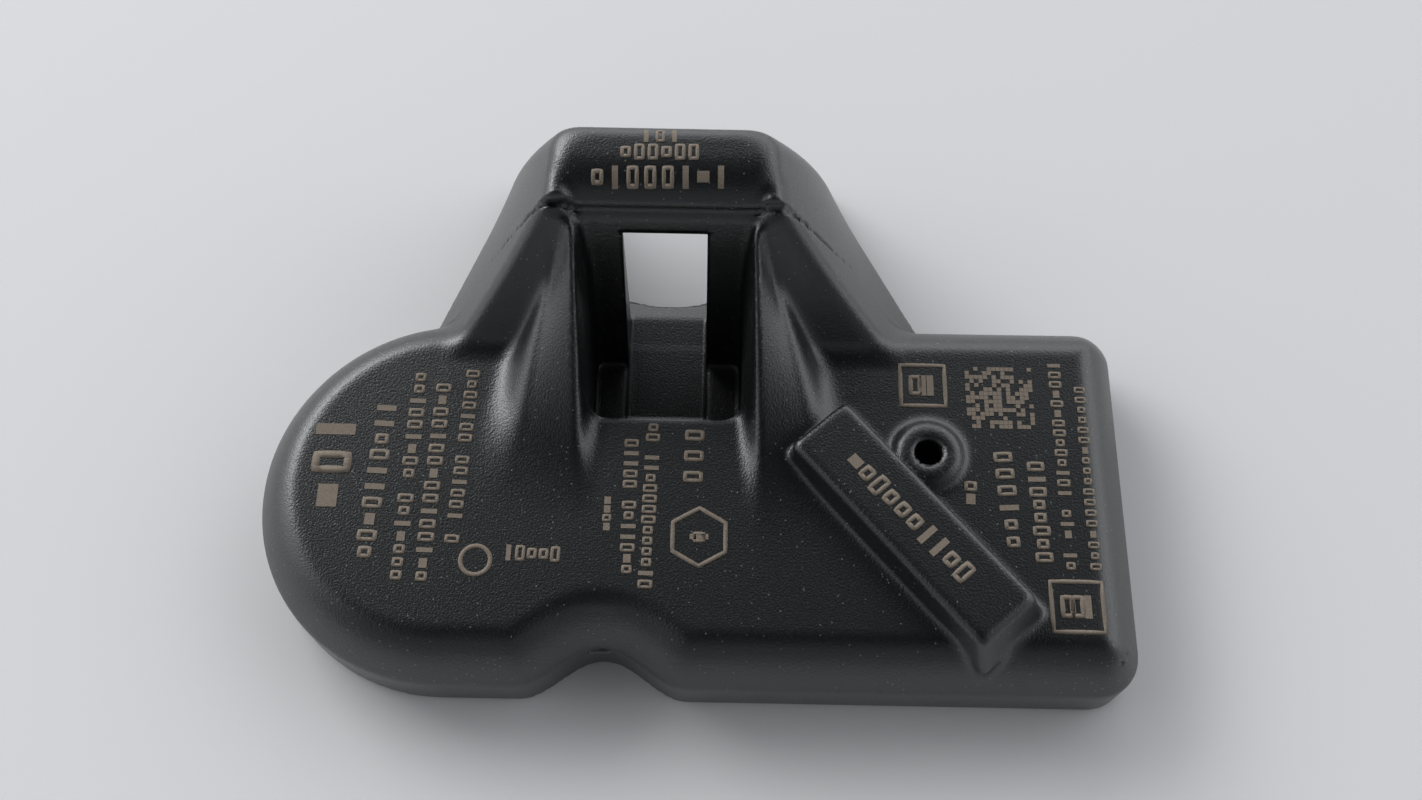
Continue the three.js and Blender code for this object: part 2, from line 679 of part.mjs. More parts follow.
const smallParts = {
  crystal_can: { at: [halfWidth - 6.4, -5.0], size: [2.5, 3.2, 0.9], colour: 'steel' },
  matching_inductor_1: { at: [halfWidth - 6.2, -9.2], size: [1.6, 2.0, 1.2], colour: 'ferrite' },
  matching_inductor_2: { at: [halfWidth - 6.2, -12.6], size: [1.6, 2.0, 1.2], colour: 'ferrite' },
  supply_capacitor: { at: [boardLeftX + 3.8, -13.6], size: [3.2, 2.5, 1.6], colour: 'ceramic' },
  decoupling_capacitor_1: { at: [portX - 1.9, 1.2], size: [0.9, 1.6, 0.8], colour: 'ceramic' },
  decoupling_capacitor_2: { at: [portX + 0.3, 1.2], size: [0.9, 1.6, 0.8], colour: 'ceramic' },
  decoupling_capacitor_3: { at: [portX + 2.5, 1.2], size: [0.9, 1.6, 0.8], colour: 'ceramic' },
  coil_capacitor_1: { at: [bumpX - 0.6, -9.4], size: [0.9, 1.6, 0.8], colour: 'ceramic' },
  coil_capacitor_2: { at: [bumpX - 0.6, -12.2], size: [0.9, 1.6, 0.8], colour: 'ceramic' },
  bias_resistor_1: { at: [bumpX - 3.0, -9.4], size: [0.9, 1.6, 0.5], colour: 'epoxy' },
  bias_resistor_2: { at: [bumpX - 3.0, -12.2], size: [0.9, 1.6, 0.5], colour: 'epoxy' },
};

function smallPart({ at: [x, y], size: [w, l, h] }) {
  return block([x - w / 2, y - l / 2, boardTopZ], [x + w / 2, y + l / 2, boardTopZ + h]);
}

// ---- finishes and the assembly ------------------------------------------------------
const finishes = {
  nylon: { color: 0x24262a, roughness: 0.55, metalness: 0 },
  cover: { color: 0x1d1f22, roughness: 0.6, metalness: 0 },
  board: { color: 0x1f5a3a, roughness: 0.5, metalness: 0 },
  steel: { color: 0xb9bcc0, roughness: 0.3, metalness: 1 },
  gasket: { color: 0x3b3f6b, roughness: 0.6, metalness: 0 },
  lithium: { color: 0xc9cccf, roughness: 0.4, metalness: 1 },
  separator: { color: 0xe9e9e4, roughness: 0.8, metalness: 0 },
  cathode: { color: 0x2a2a2a, roughness: 0.9, metalness: 0 },
  nickel: { color: 0xc7c3b8, roughness: 0.35, metalness: 1 },
  epoxy: { color: 0x17181a, roughness: 0.5, metalness: 0 },
  rubber: { color: 0x8f2f28, roughness: 0.7, metalness: 0 },
  membrane: { color: 0xf2f2ee, roughness: 0.8, metalness: 0 },
  bobbin: { color: 0x202225, roughness: 0.6, metalness: 0 },
  ferrite: { color: 0x3c3b3a, roughness: 0.7, metalness: 0 },
  copper: { color: 0xb0673a, roughness: 0.35, metalness: 1 },
  brass: { color: 0xc6a765, roughness: 0.35, metalness: 1 },
  ceramic: { color: 0xa98a63, roughness: 0.45, metalness: 0 },
};

const finishOf = {
  housing: 'nylon',
  base_cover: 'cover',
  circuit_board: 'board',
  battery_can: 'steel',
  battery_cap: 'steel',
  battery_gasket: 'gasket',
  battery_lithium_disc: 'lithium',
  battery_separator: 'separator',
  battery_cathode: 'cathode',
  positive_tab: 'nickel',
  negative_tab: 'nickel',
  sensor_chip: 'epoxy',
  sensor_lid: 'steel',
  port_seal: 'rubber',
  port_filter: 'membrane',
  coil_base: 'bobbin',
  coil_core: 'ferrite',
  coil_winding: 'copper',
  coil_terminal_1: 'brass',
  coil_terminal_2: 'brass',
  antenna_strap: 'brass',
};

const model = new THREE.Group();

function addPiece(name, solid, finish) {
  const material = new THREE.MeshStandardMaterial(finishes[finish]);
  const mesh = new THREE.Mesh(toGeometry(solid), material);
  mesh.name = name;
  model.add(mesh);
}

const pieces = {
  housing: housing(),
  base_cover: baseCover(),
  circuit_board: circuitBoard(),
  ...cellPieces(),
  positive_tab: tab(tabY, cellTopZ, boardTopZ),
  negative_tab: tab(tabY - tabSpacing, cellBottomZ - tabThickness, boardZ),
  ...chipPieces(),
  ...coilPieces(),
  antenna_strap: antennaStrap(),
};

Object.entries(pieces).forEach(([name, solid]) => addPiece(name, solid, finishOf[name]));
Object.entries(smallParts).forEach(([name, spec]) => addPiece(name, smallPart(spec), spec.colour));

export default model;
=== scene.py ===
import math

import bmesh
import bpy
import numpy as np
from mathutils import Matrix, Vector


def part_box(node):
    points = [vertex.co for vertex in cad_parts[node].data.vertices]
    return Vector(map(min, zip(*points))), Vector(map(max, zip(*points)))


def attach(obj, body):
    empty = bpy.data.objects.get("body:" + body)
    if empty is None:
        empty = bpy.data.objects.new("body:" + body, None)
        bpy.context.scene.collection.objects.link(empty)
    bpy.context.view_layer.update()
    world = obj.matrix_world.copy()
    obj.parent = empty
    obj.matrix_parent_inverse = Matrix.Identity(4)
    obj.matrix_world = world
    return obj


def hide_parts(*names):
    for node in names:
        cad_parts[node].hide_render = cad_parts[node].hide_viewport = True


# Wheel electronics of a clamp-in tyre valve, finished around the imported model.
# Sizes in the dictionaries are millimetres in the model's own frame.

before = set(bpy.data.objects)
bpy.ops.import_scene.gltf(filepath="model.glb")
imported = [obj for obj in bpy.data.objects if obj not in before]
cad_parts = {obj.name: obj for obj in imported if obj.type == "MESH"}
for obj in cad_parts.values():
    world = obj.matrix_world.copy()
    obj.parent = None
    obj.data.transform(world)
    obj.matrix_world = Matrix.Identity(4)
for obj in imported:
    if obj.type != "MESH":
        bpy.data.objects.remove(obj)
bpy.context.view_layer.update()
mm = 0.001
scene = bpy.context.scene
scene.view_settings.view_transform = "Standard"


def nodeBox(name):
    low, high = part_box(name)
    return np.array(low) / mm, np.array(high) / mm


shellLow, shellHigh = nodeBox("housing")
cellLow, cellHigh = nodeBox("battery_can")
portLow, portHigh = nodeBox("port_filter")
boardTopZ = nodeBox("circuit_board")[1][2]
print("frame loaded,", len(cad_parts), "nodes")


# shape helpers work on arrays of millimetres and are negative inside the plastic
def softMin(a, b, radius):
    share = np.clip(0.5 + 0.5 * (b - a) / radius, 0, 1)
    return b + (a - b) * share - radius * share * (1 - share)


def softMax(a, b, radius):
    return -softMin(-a, -b, radius)


def unit(value):
    return np.clip(value, 0.0, 1.0)


def mix(a, b, share):
    return a + (b - a) * share


def arc(x, y, radius, start, end, steps=16):
    angles = np.radians(np.linspace(start, end, steps + 1))
    return [(x + radius * math.cos(t), y + radius * math.sin(t)) for t in angles]


def roundedBox(left, front, right, far, radius):
    return [
        *arc(right - radius, front + radius, radius, -90, 0, 6),
        *arc(right - radius, far - radius, radius, 0, 90, 6),
        *arc(left + radius, far - radius, radius, 90, 180, 6),
        *arc(left + radius, front + radius, radius, 180, 270, 6),
    ]


def outlineDistance(points, x, y):
    # distance to a closed outline, side by side, with the even-odd rule for the inside
    nearest = np.full(x.shape, 1e9)
    inside = np.zeros(x.shape, bool)
    for (ax, ay), (bx, by) in zip(points, [*points[1:], points[0]]):
        sx, sy = bx - ax, by - ay
        along = unit(((x - ax) * sx + (y - ay) * sy) / max(sx * sx + sy * sy, 1e-12))
        nearest = np.minimum(nearest, (x - ax - along * sx) ** 2 + (y - ay - along * sy) ** 2)
        if sy != 0:
            crosses = (ay > y) != (by > y)
            inside ^= crosses & (x < ax + (y - ay) * sx / sy)
    return np.where(inside, -1, 1) * np.sqrt(nearest)


def steepness(height, x, y):
    # turns a difference of height into a distance to the sloping surface
    step = 0.02
    slopeX = (height(x + step, y) - height(x - step, y)) / (2 * step)
    slopeY = (height(x, y + step) - height(x, y - step)) / (2 * step)
    return np.sqrt(1 + slopeX**2 + slopeY**2)


def planeDistance(y, z, foot, top):
    # distance from a sloping plane through two points, each given as y and z
    run, rise = top[0] - foot[0], top[1] - foot[1]
    return ((y - foot[0]) * rise - (z - foot[1]) * run) / math.hypot(rise, run)


# the moulded housing: outline of the deck and its rolled edge
deck = {
    "topZ": 7.0,
    "partingZ": 3.7,  # the straight wall ends here with a crisp edge
    "partingRadius": 0.12,
    "bottomRadius": 0.3,
    "roll": 3.2,  # how far the rolled edge runs inwards
    "rollPower": 2.0,
    "lobeRadius": 12.75,
    "farY": 5.6,
    "farRadius": 2.5,
    "frontRadius": 2.9,
    "scallopX": -5.65,
    "scallopHalf": 5.6,
    "scallopDepth": 2.6,
}
halfWidth, frontY, towerFarY = shellHigh[0], shellLow[1], shellHigh[1]
lobeX, lobeY = -halfWidth + deck["lobeRadius"], frontY + deck["lobeRadius"]


def deckOutline():
    across = np.linspace(-1, 1, 33)
    dip = [
        (
            deck["scallopX"] + t * deck["scallopHalf"],
            frontY + deck["scallopDepth"] / 2 * (1 + math.cos(math.pi * t)),
        )
        for t in across
    ]
    front, far = deck["frontRadius"], deck["farRadius"]
    return [
        *arc(lobeX, lobeY, deck["lobeRadius"], 90, 270, 72),
        *dip,
        *arc(halfWidth - front, frontY + front, front, -90, 0, 12),
        *arc(halfWidth - far, deck["farY"] - far, far, 0, 90, 12),
    ]


def deckDistance(z, edge):
    inward = unit(-edge / deck["roll"])
    drop = deck["topZ"] - deck["partingZ"]
    roof = deck["topZ"] - drop * (1 - inward) ** deck["rollPower"]
    slope = drop / deck["roll"] * deck["rollPower"] * (1 - inward) ** (deck["rollPower"] - 1)
    return softMax(edge, (z - roof) / np.sqrt(1 + slope**2), deck["partingRadius"])


# the valve tower: a nearly level bar, a shoulder that falls to the front, and two leaning flanks
tower = {
    "topZ": 17.8,
    "topTilt": 0.05,
    "barFrontY": 8.0,
    "leftTopX": -9.2,
    "rightTopX": 4.7,
    "farLean": 0.42,
    "leftBase": (-18.5, 8.5, 0.389),  # x, y and slope of the flank's foot
    "rightBase": (15.9, 7.7, -0.536),
    "shoulderFootY": 1.2,
    "shoulderTopZ": 17.0,
    "shoulderPower": 1.25,
    "sideRadius": 1.0,
    "cornerRadius": 1.7,
    "footRadius": 0.9,
    "sunk": 0.95,  # tower and ribs start this far under the deck
    "inside": 1,  # how far the tower runs on in front of the shoulder, in the deck
}


def crownHeight(x, y):
    topCrease = towerFarY - tower["farLean"] * tower["topZ"]
    top = tower["topZ"] - tower["topTilt"] * (topCrease - y)
    climb = unit((y - tower["shoulderFootY"]) / (tower["barFrontY"] - tower["shoulderFootY"]))
    startZ = deck["topZ"] - tower["sunk"]
    front = startZ + (tower["shoulderTopZ"] - startZ) * climb ** tower["shoulderPower"]
    return np.where(y < tower["barFrontY"], front, top)


def flankDistance(x, y, z, base, topX, side):
    footX = base[0] + base[2] * (y - base[1])
    wallX = footX + (topX - footX) * z / tower["topZ"]
    leanZ = (topX - footX) / tower["topZ"]
    return side * (x - wallX) / np.sqrt(1 + leanZ**2 + base[2] ** 2)


def towerDistance(x, y, z):
    lean = math.hypot(1, tower["farLean"])
    farFace = (y + tower["farLean"] * z - towerFarY) / lean
    crown = (z - crownHeight(x, y)) / steepness(crownHeight, x, y)
    left = flankDistance(x, y, z, tower["leftBase"], tower["leftTopX"], -1)
    right = flankDistance(x, y, z, tower["rightBase"], tower["rightTopX"], 1)
    sides = softMax(softMax(left, farFace, tower["cornerRadius"]), right, tower["cornerRadius"])
    whole = softMax(sides, crown, tower["sideRadius"])
    return np.maximum(whole, tower["shoulderFootY"] - tower["inside"] - y)


# two ribs run from the tower into the deck, one on each side of the pocket; a rib falls
# from topY to footY, and its flat back lies between two edges, given as x at foot and top
ribs = [
    {
        "side": -1,
        "footY": -12.0,
        "topY": 7.2,
        "rise": 10.2,
        "power": 1.8,
        "inner": (-7.45, -8.1),
        "outer": (-11.6, -8.9),
        "bow": 2.0,
        "innerRun": (1.7, 1.4),
        "outerRun": (4.4, 2.8),
    },
    {
        "side": 1,
        "footY": -15.0,
        "topY": 7.2,
        "rise": 10.0,
        "power": 2.05,
        "inner": (4.75, 3.75),
        "outer": (9.0, 4.3),
        "bow": 1.6,
        "innerRun": (1.7, 1.4),
        "outerRun": (4.4, 2.8),
    },
]
ribBack = {
    "tilt": 0.28,  # the back leans outwards a little
    "edge": 0.2,
    "leastWidth": 0.1,
    "endSlope": 2.5,  # fall of a rib behind its top, inside the tower
    "past": 1,  # how far the ribs run on behind the front of the bar
    "reach": 15,  # the ribs stay this near to the middle of the slot
}


def ribHeight(rib, x, y):
    climb = unit((y - rib["footY"]) / (rib["topY"] - rib["footY"]))
    crest = rib["rise"] * climb ** rib["power"]
    innerX = mix(*rib["inner"], climb)
    outerX = mix(*rib["outer"], climb ** rib["bow"])
    half = rib["side"] * (outerX - innerX) / 2
    out = rib["side"] * (x - (innerX + outerX) / 2)
    beyond = np.abs(out) - half
    away = (beyond + np.sqrt(beyond**2 + ribBack["edge"] ** 2)) / 2
    run = np.where(out > 0, mix(*rib["outerRun"], climb), mix(*rib["innerRun"], climb))
    fall = unit(away / run)
    share = 1 - fall * fall * (3 - 2 * fall)
    width = np.maximum(2 * half, ribBack["leastWidth"])
    share = share * (1 - ribBack["tilt"] * unit((out + half) / width))
    behind = ribBack["endSlope"] * np.clip(y - rib["topY"], 0, None)
    return deck["topZ"] - tower["sunk"] + np.clip(crest - behind, 0, None) * share


def ribsHeight(x, y):
    return np.maximum(ribHeight(ribs[0], x, y), ribHeight(ribs[1], x, y))


def ribsDistance(x, y, z):
    field = (z - ribsHeight(x, y)) / steepness(ribsHeight, x, y)
    for side, base, topX in ((-1, "leftBase", "leftTopX"), (1, "rightBase", "rightTopX")):
        flank = flankDistance(x, y, z, tower[base], tower[topX], side)
        field = np.maximum(field, flank + tower["footRadius"])  # ribs stay inside the flanks
    behind = y - tower["barFrontY"] - ribBack["past"]
    field = np.maximum(field, np.maximum(behind, np.abs(x - slot["x"]) - ribBack["reach"]))
    return np.maximum(field, ribs[1]["footY"] - y)


# the diagonal bump over the coil
bump = {
    "start": (8.0, -3.75),
    "angle": -48.4,
    "length": 18.4,
    "width": 4.65,
    "topZ": 9.3,
    "draft": 0.16,
    "endDraft": 0.5,  # the outer end slopes more than the sides
    "draftDepth": 0.4,  # the draft stops this far under the deck
    "cornerRadius": 0.5,
    "topRadius": 0.5,
    "footRadius": 0.45,
    "inset": 0.1,  # the bump stays this far inside the outline
}
bumpTurn = math.radians(bump["angle"])


def bumpAxes(x, y):
    # distance along the bump from its start, and across it
    right, ahead = x - bump["start"][0], y - bump["start"][1]
    along = right * math.cos(bumpTurn) + ahead * math.sin(bumpTurn)
    across = ahead * math.cos(bumpTurn) - right * math.sin(bumpTurn)
    return along, across


def bumpDistance(x, y, z):
    along, across = bumpAxes(x, y)
    rise = bump["topZ"] - deck["topZ"]
    down = np.clip(bump["topZ"] - z, None, rise + bump["draftDepth"])
    side = np.abs(across) - bump["width"] / 2 - bump["draft"] * down
    slope = bump["endDraft"]
    outerEnd = (along - bump["length"] - slope * (down - rise)) / math.hypot(1, slope)
    ends = np.maximum(-along, outerEnd)
    block = softMax(softMax(side, ends, bump["cornerRadius"]), z - bump["topZ"], bump["topRadius"])
    return np.maximum(block, deck["partingZ"] - z)  # ends inside the deck


# the boss of the pressure port
port = {"bore": 0.9, "top": 1.9, "foot": 2.6, "topZ": 7.8, "radius": 0.25}
portX, portY = (portLow[:2] + portHigh[:2]) / 2


def portDistance(x, y, z):
    reach = np.hypot(x - portX, y - portY)
    lean = (port["foot"] - port["top"]) / (port["topZ"] - deck["topZ"])
    wall = (reach - port["top"] - lean * (port["topZ"] - z)) / math.hypot(1, lean)
    return softMax(wall, z - port["topZ"], port["radius"])


# the pocket in front of the tower, with the sloping seat of the valve's screw; its back lies
# on the farther of two planes, seatFoot to seatTop and seatTop to barEdge, given as y and z
pocket = {
    "left": -7.18,
    "right": 3.12,
    "frontY": -2.7,
    "behindBar": 3,  # how far its outline runs on behind the front of the bar
    "floorZ": 1.3,
    "corner": 1.35,
    "seatFoot": (1.6, 1.0),
    "seatTop": (7.3, 14.5),
    "barEdge": (8.0, 17.2),
    "flare": 0.7,  # how much wider the pocket is at the bar
    "flarePower": 3,
    "flareRun": 6,
    "flareZ": 9,
    "seatRadius": 0.3,
    "wallRadius": 0.6,
    "floorRadius": 0.3,
    "rimRadius": 0.35,
    "browRadius": 2.2,
    "browRise": 0.4,  # the brow's large radius starts this far above the seat
}


def pocketDistance(x, y, z):
    farY = tower["barFrontY"] + pocket["behindBar"]
    rim = roundedBox(pocket["left"], pocket["frontY"], pocket["right"], farY, pocket["corner"])
    ahead = unit((y - pocket["seatFoot"][0]) / pocket["flareRun"]) ** pocket["flarePower"]
    flare = pocket["flare"] * ahead * unit((z - pocket["flareZ"]) / pocket["flareRun"])
    wall = outlineDistance(rim, x, y) - flare
    seat = planeDistance(y, z, pocket["seatFoot"], pocket["seatTop"])
    brow = planeDistance(y, z, pocket["seatTop"], pocket["barEdge"])
    back = softMin(seat, brow, pocket["seatRadius"])
    sides = softMax(wall, back, pocket["wallRadius"])
    return softMax(sides, pocket["floorZ"] - z, pocket["floorRadius"])


# the screw's slot through the tower
slot = {
    "x": -2.13,
    "width": 5.5,
    "floorZ": 1.0,
    "topZ": 13.9,
    "before": 2,  # it reaches this far into the pocket
    "past": 1,  # and this far into the valve's channel
    "edgeRadius": 0.2,
}


def slotDistance(x, y, z):
    side = np.abs(x - slot["x"]) - slot["width"] / 2
    front = pocket["seatFoot"][0] - slot["before"] - y
    ends = np.maximum(front, y - valveArch["rearY"] - slot["past"])
    heights = np.maximum(slot["floorZ"] - z, z - slot["topZ"])
    return np.maximum(np.maximum(side, ends), heights)


# the arched channel for the foot of the valve, with a curved lip below it
valveArch = {
    "x": -2.13,
    "radius": 7.8,
    "topZ": 14.5,
    "rearY": 7.8,
    "lipY": 9.0,
    "lipRadius": 9.0,
    "lipRise": 0.5,
    "ramp": 0.35,  # the floor of the channel falls outwards, over rampRun
    "rampRun": 2,
}


def valveDistance(x, y, z):
    radius = valveArch["radius"]
    springZ = valveArch["topZ"] - radius
    across = x - valveArch["x"]
    barrel = np.hypot(across, np.clip(z - springZ, 0, None)) - radius
    ramp = valveArch["ramp"] * np.clip(y - valveArch["rearY"], 0, valveArch["rampRun"])
    arch = np.maximum(np.maximum(barrel, slot["floorZ"] - ramp - z), valveArch["rearY"] - y)
    lipCentre = valveArch["lipY"] + valveArch["lipRadius"]
    lip = np.hypot(across, y - lipCentre) - valveArch["lipRadius"]
    sides = np.abs(across) - radius
    lip = np.where(y > lipCentre, sides, np.maximum(lip, sides))
    under = np.maximum(lip, z - slot["floorZ"] - valveArch["lipRise"])
    return np.minimum(arch, under)


# a small vent slit in the wall of the front recess
slit = {"x": -5.75, "z": 3.1, "width": 1.5, "height": 0.6, "depth": 0.9}


def slitDistance(x, y, z):
    across = np.abs(x - slit["x"]) - slit["width"] / 2
    upright = np.abs(z - slit["z"]) - slit["height"] / 2
    wallY = frontY + deck["scallopDepth"]
    return np.maximum(np.maximum(across, upright), y - wallY - slit["depth"])


# the hollow inside, with the ledge for the cover, the coil's room and the board's posts
cavity = {
    "roofZ": 5.6,
    "coverZ": 1.2,
    "ledge": 0.7,
    "side": 1.6,
    "frontGap": 0.8,  # wall beside the front recess
    "pocketWall": 1.4,
    "cell": 10.35,
    "corner": 1.2,
    "bumpWall": 2.26,
    "coilStart": 3.0,
    "coilHalf": 1.425,
    "coilRoof": 8.1,
    "shoulderZ": 4.95,  # the cell's room narrows above this, under the rolled edge
    "shoulderEnd": 6,  # where that ends in x, from the cell's middle
    "postRadius": 0.9,
    "edgeRadius": 0.12,
}
posts = [(24.8, -16.1), (6.92, 1.6), (1.5, -6.4), (2.6, -14.6)]
cellX, cellY = (cellLow[:2] + cellHigh[:2]) / 2


def cavityOutline(margin):
    radius = cavity["cell"] + margin
    corner = cavity["corner"] + margin
    left = deck["scallopX"] + deck["scallopHalf"] + cavity["frontGap"] - margin
    right = halfWidth - cavity["side"] + margin
    front = frontY + cavity["side"] - margin
    far = deck["farY"] - cavity["side"] + margin
    passageFront = frontY + deck["scallopDepth"] + cavity["side"] - margin
    passageFar = pocket["frontY"] - cavity["pocketWall"] + margin
    pocketSide = pocket["right"] + cavity["pocketWall"] - margin
    farAngle = math.degrees(math.asin((passageFar - cellY) / radius))
    frontAngle = math.degrees(math.asin((passageFront - cellY) / radius))
    return [
        *arc(cellX, cellY, radius, farAngle, 360 + frontAngle, 64),
        (left, passageFront),
        *arc(left + corner, front + corner, corner, 180, 270, 6),
        *arc(right - corner, front + corner, corner, -90, 0, 6),
        *arc(right - corner, far - corner, corner, 0, 90, 6),
        *arc(pocketSide + corner, far - corner, corner, 90, 180, 6),
        (pocketSide, passageFar),
    ]


def hollowDistance(x, y, z):
    room = outlineDistance(cavityOutline(0), x, y)
    seatRing = outlineDistance(cavityOutline(cavity["ledge"]), x, y)
    along, across = bumpAxes(x, y)
    main = np.maximum(room, z - cavity["roofZ"])
    shoulder = np.hypot(x - cellX, y - cellY) - cavity["cell"] + z - cavity["shoulderZ"]
    noLimit = -9
    main = np.maximum(main, np.where(x < cellX + cavity["shoulderEnd"], shoulder, noLimit))
    lower = np.maximum(seatRing, z - cavity["coverZ"])
    coilHeights = np.maximum(boardTopZ - z, z - cavity["coilRoof"])
    coilRoom = np.maximum(np.abs(across) - cavity["coilHalf"], coilHeights)
    coilEnds = np.maximum(cavity["coilStart"] - along, along - bump["length"] + cavity["bumpWall"])
    coilRoom = np.maximum(coilRoom, coilEnds)
    hollow = np.minimum(np.minimum(main, lower), coilRoom)
    for postX, postY in posts:
        stake = np.maximum(np.hypot(x - postX, y - postY) - cavity["postRadius"], boardTopZ - z)
        hollow = np.maximum(hollow, -stake)
    bore = np.maximum(np.hypot(x - portX, y - portY) - port["bore"], boardTopZ - z)
    return np.minimum(hollow, bore)


def housingDistance(x, y, z):
    edge = outlineDistance(deckOutline(), x, y)
    body = deckDistance(z, edge)
    upper = softMin(towerDistance(x, y, z), ribsDistance(x, y, z), tower["footRadius"])
    body = softMin(body, upper, tower["footRadius"])
    coilBump = np.maximum(bumpDistance(x, y, z), edge + bump["inset"])
    body = softMin(body, coilBump, bump["footRadius"])
    body = softMin(body, portDistance(x, y, z), port["radius"])
    aboveSeat = unit(z - pocket["seatTop"][1] - pocket["browRise"])
    rimRadius = mix(pocket["rimRadius"], pocket["browRadius"], aboveSeat)
    body = softMax(body, -pocketDistance(x, y, z), rimRadius)
    openings = np.minimum(slotDistance(x, y, z), valveDistance(x, y, z))
    body = softMax(body, -openings, slot["edgeRadius"])
    body = np.maximum(body, -slitDistance(x, y, z))
    body = softMax(body, -hollowDistance(x, y, z), cavity["edgeRadius"])
    return softMax(body, -z, deck["bottomRadius"])


# the mesh of the housing: size of the grid and how its vertices settle
skin = {
    "cell": 0.29,
    "margin": 0.6,
    "steps": 3,
    "probe": 0.05,  # half the length over which the slope of the field is measured
    "leastSlope": 0.25,  # as a square
    "paintedLightBand": 0.25,  # a vertex this near to the outline belongs to the straight wall and gets its painted light
    "bandGap": 0.05,
}


def surfaceNet(distance, low, high):
    # a closed quad mesh of the zero surface: one vertex in every grid cell that it crosses
    cell = skin["cell"]
    counts = [int(math.ceil((b - a) / cell)) + 1 for a, b in zip(low, high)]
    axes = [a + cell * np.arange(n) for a, n in zip(low, counts)]
    x, y = np.meshgrid(axes[0], axes[1], indexing="ij")
    field = np.stack([distance(x, y, np.full(x.shape, z)) for z in axes[2]], axis=2)
    field = np.where(field == 0, 1e-9, field)
    inside = field < 0
    cells = tuple(n - 1 for n in counts)
    total = np.zeros((*cells, 3))
    hits = np.zeros(cells)
    corners = [(i, j, k) for i in (0, 1) for j in (0, 1) for k in (0, 1)]

    def corner(array, offset):
        return array[tuple(slice(o, o + n) for o, n in zip(offset, cells))]

    for a in corners:
        for axis in range(3):
            if a[axis]:
                continue
            b = tuple(v + (i == axis) for i, v in enumerate(a))
            fa, fb = corner(field, a), corner(field, b)
            crossed = (fa < 0) != (fb < 0)
            share = np.where(crossed, fa / np.where(crossed, fa - fb, 1), 0)
            for i in range(3):
                total[..., i] += crossed * (a[i] + (share if i == axis else 0))
            hits += crossed
    used = hits > 0
    index = np.full(cells, -1)
    index[used] = np.arange(used.sum())
    where = np.argwhere(used)
    points = np.array(low) + cell * (where + total[used] / hits[used][:, None])

    faces = []
    for axis in range(3):
        one, two = (axis + 1) % 3, (axis + 2) % 3
        start = [slice(1, n) for n in cells]
        start[axis] = slice(0, cells[axis])
        nextOne = list(start)
        nextOne[axis] = slice(1, cells[axis] + 1)
        a, b = inside[tuple(start)], inside[tuple(nextOne)]
        edges = np.argwhere(a != b)
        shift = np.array([0 if i == axis else 1 for i in range(3)])
        base = edges + shift
        stepOne, stepTwo = np.zeros(3, int), np.zeros(3, int)
        stepOne[one], stepTwo[two] = 1, 1
        ring = [base - stepOne - stepTwo, base - stepTwo, base, base - stepOne]
        quads = np.stack([index[tuple(c.T)] for c in ring], axis=1)
        outwards = a[tuple(edges.T)]
        quads[~outwards] = quads[~outwards][:, ::-1]
        faces.append(quads)
    faces = np.concatenate(faces)

    probes = skin["probe"] * np.eye(3)
    for _ in range(skin["steps"]):  # settle each vertex onto the true surface
        value = distance(*points.T)
        rises = [distance(*(points + probe).T) - distance(*(points - probe).T) for probe in probes]
        slope = np.stack(rises, axis=1) / (2 * skin["probe"])
        size = np.clip((slope**2).sum(1), skin["leastSlope"], None)
        move = (value / size)[:, None] * slope
        points = points - np.clip(move, -cell / 3, cell / 3)
    return points, faces


def addMesh(name, points, faces):
    mesh = bpy.data.meshes.new(name)
    mesh.from_pydata((np.asarray(points) * mm).tolist(), [], np.asarray(faces).tolist())
    mesh.polygons.foreach_set("use_smooth", [True] * len(mesh.polygons))
    mesh.update()
    made = bpy.data.objects.new(name, mesh)
    scene.collection.objects.link(made)
    return made


def makeHousing():
    low, high = shellLow - skin["margin"], shellHigh + skin["margin"]
    points, faces = surfaceNet(housingDistance, low, high)
    housing = addMesh("moulded_housing", points, faces)
    # vertices of the straight wall under the parting line are marked for painted light, a lighter
    # colour standing in for the bright floor it reflects
    fromOutline = np.abs(outlineDistance(deckOutline(), points[:, 0], points[:, 1]))
    belowParting = points[:, 2] < deck["partingZ"] - skin["bandGap"]
    band = ((fromOutline < skin["paintedLightBand"]) & belowParting).astype(float)
    housing.data.attributes.new("paintedLightBand", "FLOAT", "POINT").data.foreach_set("value", band)
    print("housing skin,", len(points), "points,", 2 * len(faces), "triangles")
    return housing


housing = makeHousing()


# materials: settings are node attributes, or else names of inputs
def nodeSetter(tree):
    def add(kind, **settings):
        made = tree.nodes.new(kind)
        for key, value in settings.items():
            if hasattr(made, key):
                setattr(made, key, value)
            else:
                made.inputs[key.replace("_", " ")].default_value = value
        return made

    return add


